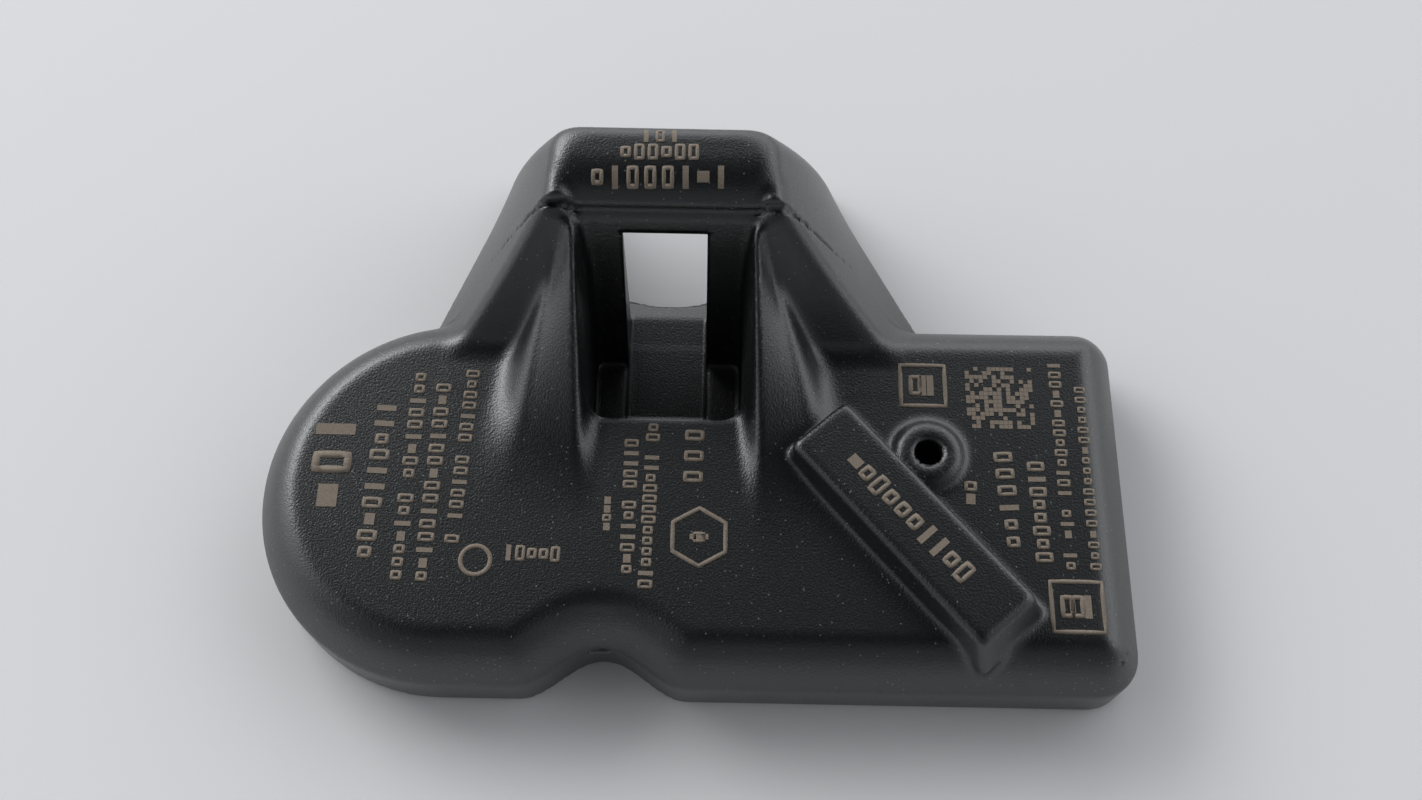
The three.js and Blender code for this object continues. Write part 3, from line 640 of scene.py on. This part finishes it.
# colour low and high, roughness low and high, metal, grain per metre, bump height in metres
finishes = {
    "steel": ((0.42, 0.42, 0.43), (0.58, 0.58, 0.59), 0.22, 0.42, 1, 900, 2e-6),
    "gasket": ((0.035, 0.04, 0.12), (0.06, 0.065, 0.17), 0.5, 0.65, 0, 1500, 3e-6),
    "lithium": ((0.50, 0.51, 0.53), (0.66, 0.67, 0.69), 0.35, 0.6, 1, 1200, 4e-6),
    "separator": ((0.72, 0.72, 0.68), (0.82, 0.82, 0.79), 0.7, 0.9, 0, 4000, 5e-6),
    "cathode": ((0.012, 0.012, 0.013), (0.03, 0.03, 0.031), 0.8, 0.95, 0, 3500, 8e-6),
    "nickel": ((0.48, 0.46, 0.42), (0.63, 0.61, 0.57), 0.25, 0.45, 1, 1400, 2e-6),
    "epoxy": ((0.008, 0.008, 0.009), (0.018, 0.018, 0.02), 0.4, 0.6, 0, 6000, 3e-6),
    "rubber": ((0.008, 0.008, 0.009), (0.018, 0.018, 0.019), 0.6, 0.8, 0, 3000, 4e-6),
    # painted shade: the port filter is near-black, standing in for the shade at the bottom of the
    # port's bore
    "membrane": ((0.012, 0.012, 0.013), (0.024, 0.024, 0.025), 0.75, 0.95, 0, 9000, 4e-6),
    "bobbin": ((0.012, 0.013, 0.014), (0.022, 0.023, 0.025), 0.45, 0.65, 0, 4000, 3e-6),
    "ferrite": ((0.03, 0.029, 0.028), (0.055, 0.053, 0.05), 0.55, 0.8, 0, 5000, 5e-6),
    "copper": ((0.45, 0.17, 0.06), (0.62, 0.27, 0.11), 0.25, 0.4, 1, 2500, 2e-6),
    "brass": ((0.52, 0.38, 0.14), (0.66, 0.50, 0.21), 0.25, 0.42, 1, 1600, 2e-6),
    "ceramic": ((0.34, 0.23, 0.12), (0.45, 0.32, 0.18), 0.35, 0.55, 0, 5000, 3e-6),
    "board": ((0.008, 0.06, 0.025), (0.015, 0.10, 0.042), 0.3, 0.5, 0, 1800, 3e-6),
    "cover": ((0.010, 0.011, 0.012), (0.020, 0.021, 0.023), 0.42, 0.62, 0, 2600, 9e-6),
}
broadShare = 8  # the colour varies this many times more slowly than the grain


def grainedFinish(name):
    low, high, smoothest, roughest, metal, grain, height = finishes[name]
    material = bpy.data.materials.new(name)
    material.use_nodes = True
    tree = material.node_tree
    add, link = nodeSetter(tree), tree.links.new
    shader = tree.nodes["Principled BSDF"]
    shader.inputs["Metallic"].default_value = metal
    place = add("ShaderNodeTexCoord")
    turn = add("ShaderNodeMapping")
    broad = add("ShaderNodeTexNoise", Scale=grain / broadShare, Detail=4.0)
    fine = add("ShaderNodeTexNoise", Scale=grain, Detail=3.0)
    colour = add("ShaderNodeMix", data_type="RGBA")
    colour.inputs[6].default_value = (*low, 1)
    colour.inputs[7].default_value = (*high, 1)
    rough = add("ShaderNodeMapRange", To_Min=smoothest, To_Max=roughest)
    bumpNode = add("ShaderNodeBump", Strength=1.0, Distance=height)
    link(place.outputs["Object"], turn.inputs["Vector"])
    for texture in (broad, fine):
        link(turn.outputs["Vector"], texture.inputs["Vector"])
    link(broad.outputs["Fac"], colour.inputs["Factor"])
    link(fine.outputs["Fac"], rough.inputs["Value"])
    link(fine.outputs["Fac"], bumpNode.inputs["Height"])
    link(colour.outputs[2], shader.inputs["Base Color"])
    link(rough.outputs["Result"], shader.inputs["Roughness"])
    link(bumpNode.outputs["Normal"], shader.inputs["Normal"])
    return material


nylonLook = {
    "dark": (0.0036, 0.0040, 0.0044),
    "light": (0.0070, 0.0080, 0.0082),
    "wall": (0.045, 0.048, 0.049),  # painted light: the straight wall under the parting line is painted lighter, standing in for the bright floor it reflects
    "glassAndGlint": (0.20, 0.26, 0.22),  # specks of glass fibre at the surface, partly real and partly painted highlight: their light colour stands in for glints
    "roughness": (0.24, 0.42),
    "specular": 0.95,
    "blotch": 180,  # per metre
    "spark": 7000,
    "sparkHeight": 0.030,  # millimetres
    "fibreGlint": 2800,
    "fibreGlintShare": 0.2,
    "fibreGlintChance": 0.72,  # a cell shows a speck if its random value is above this
}


def nylonFinish():
    material = bpy.data.materials.new("nylon")
    material.use_nodes = True
    tree = material.node_tree
    add, link = nodeSetter(tree), tree.links.new
    shader = tree.nodes["Principled BSDF"]
    shader.inputs["Specular IOR Level"].default_value = nylonLook["specular"]
    place = add("ShaderNodeTexCoord")
    turn = add("ShaderNodeMapping")
    blotch = add("ShaderNodeTexNoise", Scale=nylonLook["blotch"], Detail=3.0)
    spark = add("ShaderNodeTexNoise", Scale=nylonLook["spark"], Detail=2.0, Roughness=0.55)
    # glass-fibre specks, partly real and partly painted highlight: their light colour stands in for
    # glints
    fibreGlint = add("ShaderNodeTexVoronoi", Scale=nylonLook["fibreGlint"], Randomness=1.0)
    ground = add("ShaderNodeMix", data_type="RGBA")
    ground.inputs[6].default_value = (*nylonLook["dark"], 1)
    ground.inputs[7].default_value = (*nylonLook["light"], 1)
    speck = add("ShaderNodeMapRange", From_Max=nylonLook["fibreGlintShare"], To_Min=1.0, To_Max=0.0)
    chance = add("ShaderNodeMath", operation="GREATER_THAN")
    chance.inputs[1].default_value = nylonLook["fibreGlintChance"]
    both = add("ShaderNodeMath", operation="MULTIPLY")
    colour = add("ShaderNodeMix", data_type="RGBA")
    colour.inputs[7].default_value = (*nylonLook["glassAndGlint"], 1)
    # painted light: the straight wall is painted lighter, standing in for the bright floor it
    # reflects
    band = add("ShaderNodeAttribute", attribute_name="paintedLightBand")
    paintedWallLight = add("ShaderNodeMix", data_type="RGBA")
    paintedWallLight.inputs[7].default_value = (*nylonLook["wall"], 1)
    split = add("ShaderNodeSeparateColor")
    smoothest, roughest = nylonLook["roughness"]
    rough = add("ShaderNodeMapRange", To_Min=smoothest, To_Max=roughest)
    bumpNode = add("ShaderNodeBump", Strength=1.0, Distance=nylonLook["sparkHeight"] * mm)
    link(place.outputs["Object"], turn.inputs["Vector"])
    for texture in (blotch, spark, fibreGlint):
        link(turn.outputs["Vector"], texture.inputs["Vector"])
    link(blotch.outputs["Fac"], ground.inputs["Factor"])
    link(fibreGlint.outputs["Distance"], speck.inputs["Value"])
    link(fibreGlint.outputs["Color"], split.inputs["Color"])
    link(split.outputs["Red"], chance.inputs[0])
    link(speck.outputs["Result"], both.inputs[0])
    link(chance.outputs["Value"], both.inputs[1])
    link(both.outputs["Value"], colour.inputs["Factor"])
    link(ground.outputs[2], colour.inputs[6])
    link(colour.outputs[2], paintedWallLight.inputs[6])
    link(band.outputs["Fac"], paintedWallLight.inputs["Factor"])
    link(paintedWallLight.outputs[2], shader.inputs["Base Color"])
    link(spark.outputs["Fac"], rough.inputs["Value"])
    link(rough.outputs["Result"], shader.inputs["Roughness"])
    link(spark.outputs["Fac"], bumpNode.inputs["Height"])
    link(bumpNode.outputs["Normal"], shader.inputs["Normal"])
    return material


materials = {name: grainedFinish(name) for name in finishes}
materials["nylon"] = nylonFinish()
housing.data.materials.append(materials["nylon"])
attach(housing, "root")
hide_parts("housing")

# laser marks: rows of plain tokens, frames, rings and a dot field, all without meaning
# a row is its middle, its turn in degrees, length, height, number of tokens and seed
markRows = [
    ((-23.6, -6.3), 90, 6.2, 2.6, 3, 2),
    ((-20.6, -7.4), 88, 13.0, 1.3, 12, 3),
    ((-18.5, -7.0), 89, 14.4, 1.05, 17, 4),
    ((-16.9, -7.4), 89, 13.7, 1.05, 16, 5),
    ((-15.1, -5.6), 88, 12.2, 0.95, 16, 6),
    ((-9.4, -12.3), -1, 5.1, 1.05, 7, 31),
    ((-5.5, -9.2), 90, 2.9, 0.84, 5, 8),
    ((-4.1, -8.9), 90, 9.2, 0.95, 13, 9),
    ((-2.8, -8.8), 89, 11.3, 0.95, 16, 10),
    ((0.0, -5.4), 89, 3.7, 1.3, 3, 11),
    ((-2.5, 12.2), 1, 2.4, 1.0, 3, 12),
    ((-2.5, 11.0), 1, 5.0, 1.15, 6, 13),
    ((-2.5, 9.4), 1, 8.6, 1.3, 8, 14),
    ((18.0, -7.6), 87, 1.6, 1.2, 2, 15),
    ((20.4, -8.0), 93, 6.6, 1.25, 6, 16),
    ((22.4, -8.8), 91, 6.9, 1.15, 8, 17),
    ((24.1, -5.4), 90, 14.6, 0.86, 21, 18),
    ((25.7, -6.3), 90, 12.8, 0.78, 18, 19),
    ((13.6, -10.1), 132, 10.6, 1.45, 10, 20),
    ((0.45, -10.97), 90, 0.75, 1.2, 2, 21),
    ((24.3, -15.1), 0, 2.2, 1.5, 3, 22),
    ((15.2, 0.0), 0, 1.9, 1.5, 3, 23),
]
# a frame is its middle, its turn, radius and number of sides
markFrames = [
    ((0.45, -10.97), 90, 1.95, 6),
    ((-13.7, -12.8), 0, 0.95, 48),
    ((15.2, 0.0), 45, 2.1, 4),
    ((24.3, -15.1), 45, 2.3, 4),
]
markFields = [((20.3, -0.8), 0, 4.2, 15, 5)]  # middle, turn, side, dots along it, seed
mark = {
    "proud": 0.03,
    "sunk": 0.03,
    "stroke": 0.2,  # stroke and width of a token, as shares of its height
    "width": 0.6,
    "line": 0.28,  # stroke of a frame in millimetres
    "fill": 0.92,  # share of the places in a row that hold a token
    "shortRow": 5,  # rows shorter than this are full
    "bar": 1.5,  # width of a single bar, in strokes
    "cuts": 3,  # extra points on each side of a frame, so that it bends with the surface
    "blockPoints": (3, 6),
    "dots": 0.55,  # share of the places in a field that hold a dot
    "rayStart": 0.05,  # metres above the floor
    "rayLength": 0.1,
    "colour": ((0.14, 0.115, 0.09), (0.32, 0.265, 0.21)),
    "grain": 9000.0,
    "roughness": 0.75,
    "specular": 0.3,
}


def newTree(name, inputs):
    tree = bpy.data.node_groups.new(name, "GeometryNodeTree")
    tree.interface.new_socket("Geometry", in_out="INPUT", socket_type="NodeSocketGeometry")
    tree.interface.new_socket("Geometry", in_out="OUTPUT", socket_type="NodeSocketGeometry")
    common = {
        "Surface": "NodeSocketObject",
        "Material": "NodeSocketMaterial",
        "Place": "NodeSocketVector",
        "Turn": "NodeSocketFloat",
        "Thickness": "NodeSocketFloat",
    }
    for label, kind in {**inputs, **common}.items():
        tree.interface.new_socket(label, in_out="INPUT", socket_type=kind)
    return tree, nodeSetter(tree), tree.nodes.new("NodeGroupInput").outputs


def math2(add, link, kind, a, b):
    node = add("ShaderNodeMath", operation=kind)
    for value, socket in ((a, node.inputs[0]), (b, node.inputs[1])):
        if hasattr(value, "links"):
            link(value, socket)
        else:
            socket.default_value = value
    return node.outputs[0]


def vector3(add, link, *values):
    node = add("ShaderNodeCombineXYZ")
    for value, socket in zip(values, node.inputs):
        if hasattr(value, "links"):
            link(value, socket)
        else:
            socket.default_value = value
    return node.outputs[0]


def layOnSurface(tree, add, given, flat):
    # turns and moves the flat marks, then drops every point onto the surface below it
    link = tree.links.new
    moved = add("GeometryNodeTransform")
    link(flat, moved.inputs["Geometry"])
    link(given["Place"], moved.inputs["Translation"])
    link(vector3(add, link, 0, 0, given["Turn"]), moved.inputs["Rotation"])
    here = add("GeometryNodeInputPosition")
    parts = add("ShaderNodeSeparateXYZ")
    link(here.outputs[0], parts.inputs[0])
    info = add("GeometryNodeObjectInfo", transform_space="RELATIVE")
    link(given["Surface"], info.inputs["Object"])
    ray = add("GeometryNodeRaycast")
    link(info.outputs["Geometry"], ray.inputs["Target Geometry"])
    above = vector3(add, link, parts.outputs["X"], parts.outputs["Y"], mark["rayStart"])
    link(above, ray.inputs["Source Position"])
    ray.inputs["Ray Direction"].default_value = (0, 0, -1)
    ray.inputs["Ray Length"].default_value = mark["rayLength"]
    hit = add("ShaderNodeSeparateXYZ")
    link(ray.outputs["Hit Position"], hit.inputs[0])
    height = math2(add, link, "ADD", hit.outputs["Z"], parts.outputs["Z"])
    drop = add("GeometryNodeSetPosition")
    link(moved.outputs["Geometry"], drop.inputs["Geometry"])
    link(ray.outputs["Is Hit"], drop.inputs["Selection"])
    landing = vector3(add, link, parts.outputs["X"], parts.outputs["Y"], height)
    link(landing, drop.inputs["Position"])
    join = add("GeometryNodeJoinGeometry")
    link(drop.outputs["Geometry"], join.inputs["Geometry"])
    link(given["Geometry"], join.inputs["Geometry"])
    real = add("GeometryNodeRealizeInstances")
    link(join.outputs["Geometry"], real.inputs["Geometry"])
    paint = add("GeometryNodeSetMaterial")
    link(real.outputs["Geometry"], paint.inputs["Geometry"])
    link(given["Material"], paint.inputs["Material"])
    out = add("NodeGroupOutput")
    link(paint.outputs["Geometry"], out.inputs[0])


def strip(tree, add, curve, stroke, thickness):
    # a flat strip along a curve
    link = tree.links.new
    profile = add("GeometryNodeCurvePrimitiveQuadrilateral", mode="RECTANGLE")
    link(stroke, profile.inputs["Width"])
    link(thickness, profile.inputs["Height"])
    sweep = add("GeometryNodeCurveToMesh")
    link(curve, sweep.inputs["Curve"])
    link(profile.outputs["Curve"], sweep.inputs["Profile Curve"])
    return sweep.outputs["Mesh"]


def tokenFrame(tree, add, width, height, stroke, thickness):
    link = tree.links.new
    box = add("GeometryNodeCurvePrimitiveQuadrilateral", mode="RECTANGLE")
    link(width, box.inputs["Width"])
    link(height, box.inputs["Height"])
    finer = add("GeometryNodeSubdivideCurve")
    finer.inputs["Cuts"].default_value = mark["cuts"]
    link(box.outputs["Curve"], finer.inputs["Curve"])
    return strip(tree, add, finer.outputs[0], stroke, thickness)


def tokenBlock(tree, add, width, height, thickness):
    link = tree.links.new
    block = add("GeometryNodeMeshCube")
    link(vector3(add, link, width, height, thickness), block.inputs["Size"])
    block.inputs["Vertices X"].default_value = mark["blockPoints"][0]
    block.inputs["Vertices Y"].default_value = mark["blockPoints"][1]
    return block.outputs["Mesh"]


def rowTree():
    inputs = {
        "Length": "NodeSocketFloat",
        "Height": "NodeSocketFloat",
        "Stroke": "NodeSocketFloat",
        "Width": "NodeSocketFloat",
        "Fill": "NodeSocketFloat",
        "Count": "NodeSocketInt",
        "Seed": "NodeSocketInt",
    }
    tree, add, given = newTree("markRow", inputs)
    link = tree.links.new
    gaps = math2(add, link, "SUBTRACT", given["Count"], 1)
    pitch = math2(add, link, "DIVIDE", given["Length"], gaps)
    start = math2(add, link, "MULTIPLY", given["Length"], -0.5)
    line = add("GeometryNodeMeshLine", mode="OFFSET")
    link(given["Count"], line.inputs["Count"])
    link(vector3(add, link, start, 0, 0), line.inputs["Start Location"])
    link(vector3(add, link, pitch, 0, 0), line.inputs["Offset"])

    stroke = math2(add, link, "MULTIPLY", given["Height"], given["Stroke"])
    wide = math2(add, link, "MULTIPLY", given["Height"], given["Width"])
    tall = math2(add, link, "SUBTRACT", given["Height"], stroke)
    half = math2(add, link, "MULTIPLY", given["Height"], 0.5)
    bar = math2(add, link, "MULTIPLY", stroke, mark["bar"])
    frameWide = math2(add, link, "SUBTRACT", wide, stroke)
    thick = given["Thickness"]
    kinds = [
        tokenFrame(tree, add, frameWide, tall, stroke, thick),
        tokenFrame(tree, add, frameWide, tall, stroke, thick),
        tokenFrame(tree, add, frameWide, half, stroke, thick),
        tokenBlock(tree, add, bar, given["Height"], thick),
        tokenBlock(tree, add, wide, half, thick),
    ]
    shelf = add("GeometryNodeJoinGeometry")
    for kind in reversed(kinds):
        single = add("GeometryNodeGeometryToInstance")
        link(kind, single.inputs[0])
        link(single.outputs[0], shelf.inputs[0])
    pick = add("FunctionNodeRandomValue", data_type="INT")
    pick.inputs[4].default_value = 0
    pick.inputs[5].default_value = len(kinds) - 1
    link(given["Seed"], pick.inputs["Seed"])
    keep = add("FunctionNodeRandomValue", data_type="BOOLEAN")
    link(given["Fill"], keep.inputs["Probability"])
    link(given["Seed"], keep.inputs["Seed"])
    place = add("GeometryNodeInstanceOnPoints")
    place.inputs["Pick Instance"].default_value = True
    link(line.outputs["Mesh"], place.inputs["Points"])
    link(shelf.outputs[0], place.inputs["Instance"])
    link(pick.outputs[2], place.inputs["Instance Index"])
    link(keep.outputs[3], place.inputs["Selection"])
    real = add("GeometryNodeRealizeInstances")
    link(place.outputs[0], real.inputs[0])
    layOnSurface(tree, add, given, real.outputs[0])
    return tree


def frameTree():
    inputs = {
        "Radius": "NodeSocketFloat",
        "Stroke": "NodeSocketFloat",
        "Sides": "NodeSocketInt",
    }
    tree, add, given = newTree("markFrame", inputs)
    link = tree.links.new
    circle = add("GeometryNodeMeshCircle")
    link(given["Sides"], circle.inputs["Vertices"])
    link(given["Radius"], circle.inputs["Radius"])
    curve = add("GeometryNodeMeshToCurve")
    link(circle.outputs["Mesh"], curve.inputs["Mesh"])
    finer = add("GeometryNodeSubdivideCurve")
    finer.inputs["Cuts"].default_value = mark["cuts"]
    link(curve.outputs["Curve"], finer.inputs["Curve"])
    outline = strip(tree, add, finer.outputs[0], given["Stroke"], given["Thickness"])
    layOnSurface(tree, add, given, outline)
    return tree


def fieldTree():
    inputs = {
        "Side": "NodeSocketFloat",
        "Share": "NodeSocketFloat",
        "Count": "NodeSocketInt",
        "Seed": "NodeSocketInt",
    }
    tree, add, given = newTree("markField", inputs)
    link = tree.links.new
    dot = math2(add, link, "DIVIDE", given["Side"], given["Count"])
    grid = add("GeometryNodeMeshGrid")
    for label in ("Size X", "Size Y"):
        link(given["Side"], grid.inputs[label])
    for label in ("Vertices X", "Vertices Y"):
        link(given["Count"], grid.inputs[label])
    block = add("GeometryNodeMeshCube")
    link(vector3(add, link, dot, dot, given["Thickness"]), block.inputs["Size"])
    keep = add("FunctionNodeRandomValue", data_type="BOOLEAN")
    link(given["Share"], keep.inputs["Probability"])
    link(given["Seed"], keep.inputs["Seed"])
    place = add("GeometryNodeInstanceOnPoints")
    link(grid.outputs["Mesh"], place.inputs["Points"])
    link(block.outputs["Mesh"], place.inputs["Instance"])
    link(keep.outputs[3], place.inputs["Selection"])
    real = add("GeometryNodeRealizeInstances")
    link(place.outputs[0], real.inputs[0])
    layOnSurface(tree, add, given, real.outputs[0])
    return tree


def stack(holder, tree, values):
    modifier = holder.modifiers.new(tree.name, "NODES")
    modifier.node_group = tree
    for item in tree.interface.items_tree:
        if item.in_out == "INPUT" and item.name in values:
            modifier[item.identifier] = values[item.name]


def makeMarks(material):
    holder = bpy.data.objects.new("markHolder", bpy.data.meshes.new("markHolder"))
    scene.collection.objects.link(holder)
    rows, frames, fields = rowTree(), frameTree(), fieldTree()
    thickness = (mark["proud"] + mark["sunk"]) * mm
    lift = (mark["proud"] - mark["sunk"]) / 2 * mm

    def common(middle, turn):
        return {
            "Surface": housing,
            "Material": material,
            "Place": (middle[0] * mm, middle[1] * mm, lift),
            "Turn": math.radians(turn),
            "Thickness": thickness,
        }

    for middle, turn, length, height, count, seed in markRows:
        size = {"Length": (length - height * mark["width"]) * mm, "Height": height * mm}
        fill = 1.0 if count < mark["shortRow"] else mark["fill"]
        look = {"Stroke": mark["stroke"], "Width": mark["width"], "Fill": fill}
        stack(holder, rows, {**common(middle, turn), **size, **look, "Count": count, "Seed": seed})
    for middle, turn, radius, sides in markFrames:
        size = {"Radius": radius * mm, "Stroke": mark["line"] * mm, "Sides": sides}
        stack(holder, frames, {**common(middle, turn), **size})
    for middle, turn, side, count, seed in markFields:
        size = {"Side": side * mm, "Share": mark["dots"], "Count": count, "Seed": seed}
        stack(holder, fields, {**common(middle, turn), **size})
    bpy.context.view_layer.update()
    evaluated = holder.evaluated_get(bpy.context.evaluated_depsgraph_get())
    mesh = bpy.data.meshes.new_from_object(evaluated)
    made = bpy.data.objects.new("laser_marks", mesh)
    scene.collection.objects.link(made)
    bpy.data.objects.remove(holder)
    print("laser marks,", len(mesh.polygons), "faces")
    return made


def markFinish():
    material = bpy.data.materials.new("laser_mark")
    material.use_nodes = True
    tree = material.node_tree
    add, link = nodeSetter(tree), tree.links.new
    shader = tree.nodes["Principled BSDF"]
    shader.inputs["Roughness"].default_value = mark["roughness"]
    shader.inputs["Specular IOR Level"].default_value = mark["specular"]
    place = add("ShaderNodeTexCoord")
    turn = add("ShaderNodeMapping")
    grain = add("ShaderNodeTexNoise", Scale=mark["grain"], Detail=3.0)
    colour = add("ShaderNodeMix", data_type="RGBA")
    colour.inputs[6].default_value = (*mark["colour"][0], 1)
    colour.inputs[7].default_value = (*mark["colour"][1], 1)
    link(place.outputs["Object"], turn.inputs["Vector"])
    link(turn.outputs["Vector"], grain.inputs["Vector"])
    link(grain.outputs["Fac"], colour.inputs["Factor"])
    link(colour.outputs[2], shader.inputs["Base Color"])
    return material


laserMarks = makeMarks(markFinish())
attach(laserMarks, "root")

# the cover: rounding in millimetres, on edges sharper than the angle; weld in metres
coverLook = {"edge": 0.15, "segments": 2, "angle": 30, "weld": 1e-6}


def makeCover():
    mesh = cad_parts["base_cover"].data.copy()
    shape = bmesh.new()
    shape.from_mesh(mesh)
    bmesh.ops.remove_doubles(shape, verts=shape.verts, dist=coverLook["weld"])
    sharp = [e for e in shape.edges if e.calc_face_angle(0) > math.radians(coverLook["angle"])]
    bmesh.ops.bevel(
        shape,
        geom=sharp,
        offset=coverLook["edge"] * mm,
        segments=coverLook["segments"],
        profile=0.5,
        affect="EDGES",
    )
    bmesh.ops.recalc_face_normals(shape, faces=shape.faces)
    shape.to_mesh(mesh)
    shape.free()
    mesh.materials.clear()
    mesh.materials.append(materials["cover"])
    made = bpy.data.objects.new("sealing_cover", mesh)
    scene.collection.objects.link(made)
    return made


cover = makeCover()
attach(cover, "root")
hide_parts("base_cover")

# the small chip parts that are not listed here are ceramic
finishOf = {
    "circuit_board": "board",
    "battery_can": "steel",
    "battery_cap": "steel",
    "battery_gasket": "gasket",
    "battery_lithium_disc": "lithium",
    "battery_separator": "separator",
    "battery_cathode": "cathode",
    "positive_tab": "nickel",
    "negative_tab": "nickel",
    "sensor_chip": "epoxy",
    "sensor_lid": "steel",
    "port_seal": "rubber",
    "port_filter": "membrane",
    "coil_base": "bobbin",
    "coil_core": "ferrite",
    "coil_winding": "copper",
    "coil_terminal_1": "brass",
    "coil_terminal_2": "brass",
    "antenna_strap": "brass",
    "crystal_can": "steel",
    "matching_inductor_1": "ferrite",
    "matching_inductor_2": "ferrite",
    "bias_resistor_1": "epoxy",
    "bias_resistor_2": "epoxy",
}
for name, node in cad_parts.items():
    if name in ("housing", "base_cover"):
        continue
    node.data.materials.clear()
    node.data.materials.append(materials[finishOf.get(name, "ceramic")])
print("materials set")


# floor, light and camera
studio = {
    "floor": (0.90, 0.895, 0.90),
    "floorHalf": 3.0,  # metres
    "floorRoughness": 0.75,
    "floorSpecular": 0.2,
    "skyColour": (0.93, 0.96, 1.0),
    "skyLow": 1.65,
    "skyHigh": 0.03,
    "fade": (0.50, 0.90),  # upward share of the direction where the walls end
    "nearSide": 0.16,  # brightness of the sky behind the camera
    "nearFade": (-0.50, 0.10),
    "windowPower": 2.8,
    "windowSize": (0.55, 0.30),
    "windowAt": (-0.50, 0.45, 0.40),
    "windowAim": (0, 0, 0.01),
}
# the camera's target and distance are in millimetres, its clipping in metres
view = {
    "at": (1.046, 1.781, 0.0),
    "distance": 104.245,
    "pitch": 65.8,
    "roll": 1.1,
    "lens": 36.709,
    "sensor": 36,
    "clip": (0.005, 20),
}


def makeFloor():
    half = studio["floorHalf"]
    mesh = bpy.data.meshes.new("floor")
    corners = [(-half, -half, 0), (half, -half, 0), (half, half, 0), (-half, half, 0)]
    mesh.from_pydata(corners, [], [(0, 1, 2, 3)])
    floor = bpy.data.objects.new("floor", mesh)
    scene.collection.objects.link(floor)
    material = bpy.data.materials.new("floor")
    material.use_nodes = True
    shader = material.node_tree.nodes["Principled BSDF"]
    shader.inputs["Base Color"].default_value = (*studio["floor"], 1)
    shader.inputs["Roughness"].default_value = studio["floorRoughness"]
    shader.inputs["Specular IOR Level"].default_value = studio["floorSpecular"]
    mesh.materials.append(material)


def makeSky():
    # bright walls round a darker ceiling, so that level faces stay dark and steep ones shine
    world = bpy.data.worlds.new("studio")
    scene.world = world
    world.use_nodes = True
    tree = world.node_tree
    add, link = nodeSetter(tree), tree.links.new
    background = tree.nodes["Background"]
    place = add("ShaderNodeTexCoord")
    split = add("ShaderNodeSeparateXYZ")
    fade = add("ShaderNodeMapRange", interpolation_type="SMOOTHSTEP")
    fade.inputs["From Min"].default_value, fade.inputs["From Max"].default_value = studio["fade"]
    fade.inputs["To Min"].default_value = studio["skyLow"]
    fade.inputs["To Max"].default_value = studio["skyHigh"]
    near = add("ShaderNodeMapRange", To_Min=studio["nearSide"], To_Max=1.0)
    near.inputs["From Min"].default_value, near.inputs["From Max"].default_value = studio["nearFade"]
    both = add("ShaderNodeMath", operation="MULTIPLY")
    link(place.outputs["Generated"], split.inputs["Vector"])
    link(split.outputs["Z"], fade.inputs["Value"])
    link(split.outputs["Y"], near.inputs["Value"])
    link(fade.outputs["Result"], both.inputs[0])
    link(near.outputs["Result"], both.inputs[1])
    link(both.outputs["Value"], background.inputs["Strength"])
    background.inputs["Color"].default_value = (*studio["skyColour"], 1)


def makeWindow():
    light = bpy.data.lights.new("window", "AREA")
    light.shape = "RECTANGLE"
    light.size, light.size_y = studio["windowSize"]
    light.energy = studio["windowPower"]
    lamp = bpy.data.objects.new("window", light)
    lamp.location = studio["windowAt"]
    aim = Vector(studio["windowAim"]) - lamp.location
    lamp.rotation_euler = aim.to_track_quat("-Z", "Y").to_euler()
    scene.collection.objects.link(lamp)


def makeCamera():
    data = bpy.data.cameras.new("camera")
    data.lens = view["lens"]
    data.sensor_width = view["sensor"]
    data.clip_start, data.clip_end = view["clip"]
    camera = bpy.data.objects.new("camera", data)
    pitch = math.radians(view["pitch"])
    back = Vector((0, -math.cos(pitch), math.sin(pitch)))
    camera.rotation_mode = "QUATERNION"
    facing = (-back).to_track_quat("-Z", "Y")
    turn = Matrix.Rotation(math.radians(view["roll"]), 4, "Z").to_quaternion()
    camera.rotation_quaternion = facing @ turn
    camera.location = Vector(view["at"]) * mm + back * view["distance"] * mm
    scene.collection.objects.link(camera)
    scene.camera = camera


makeFloor()
makeSky()
makeWindow()
makeCamera()
print("floor, light and camera set")
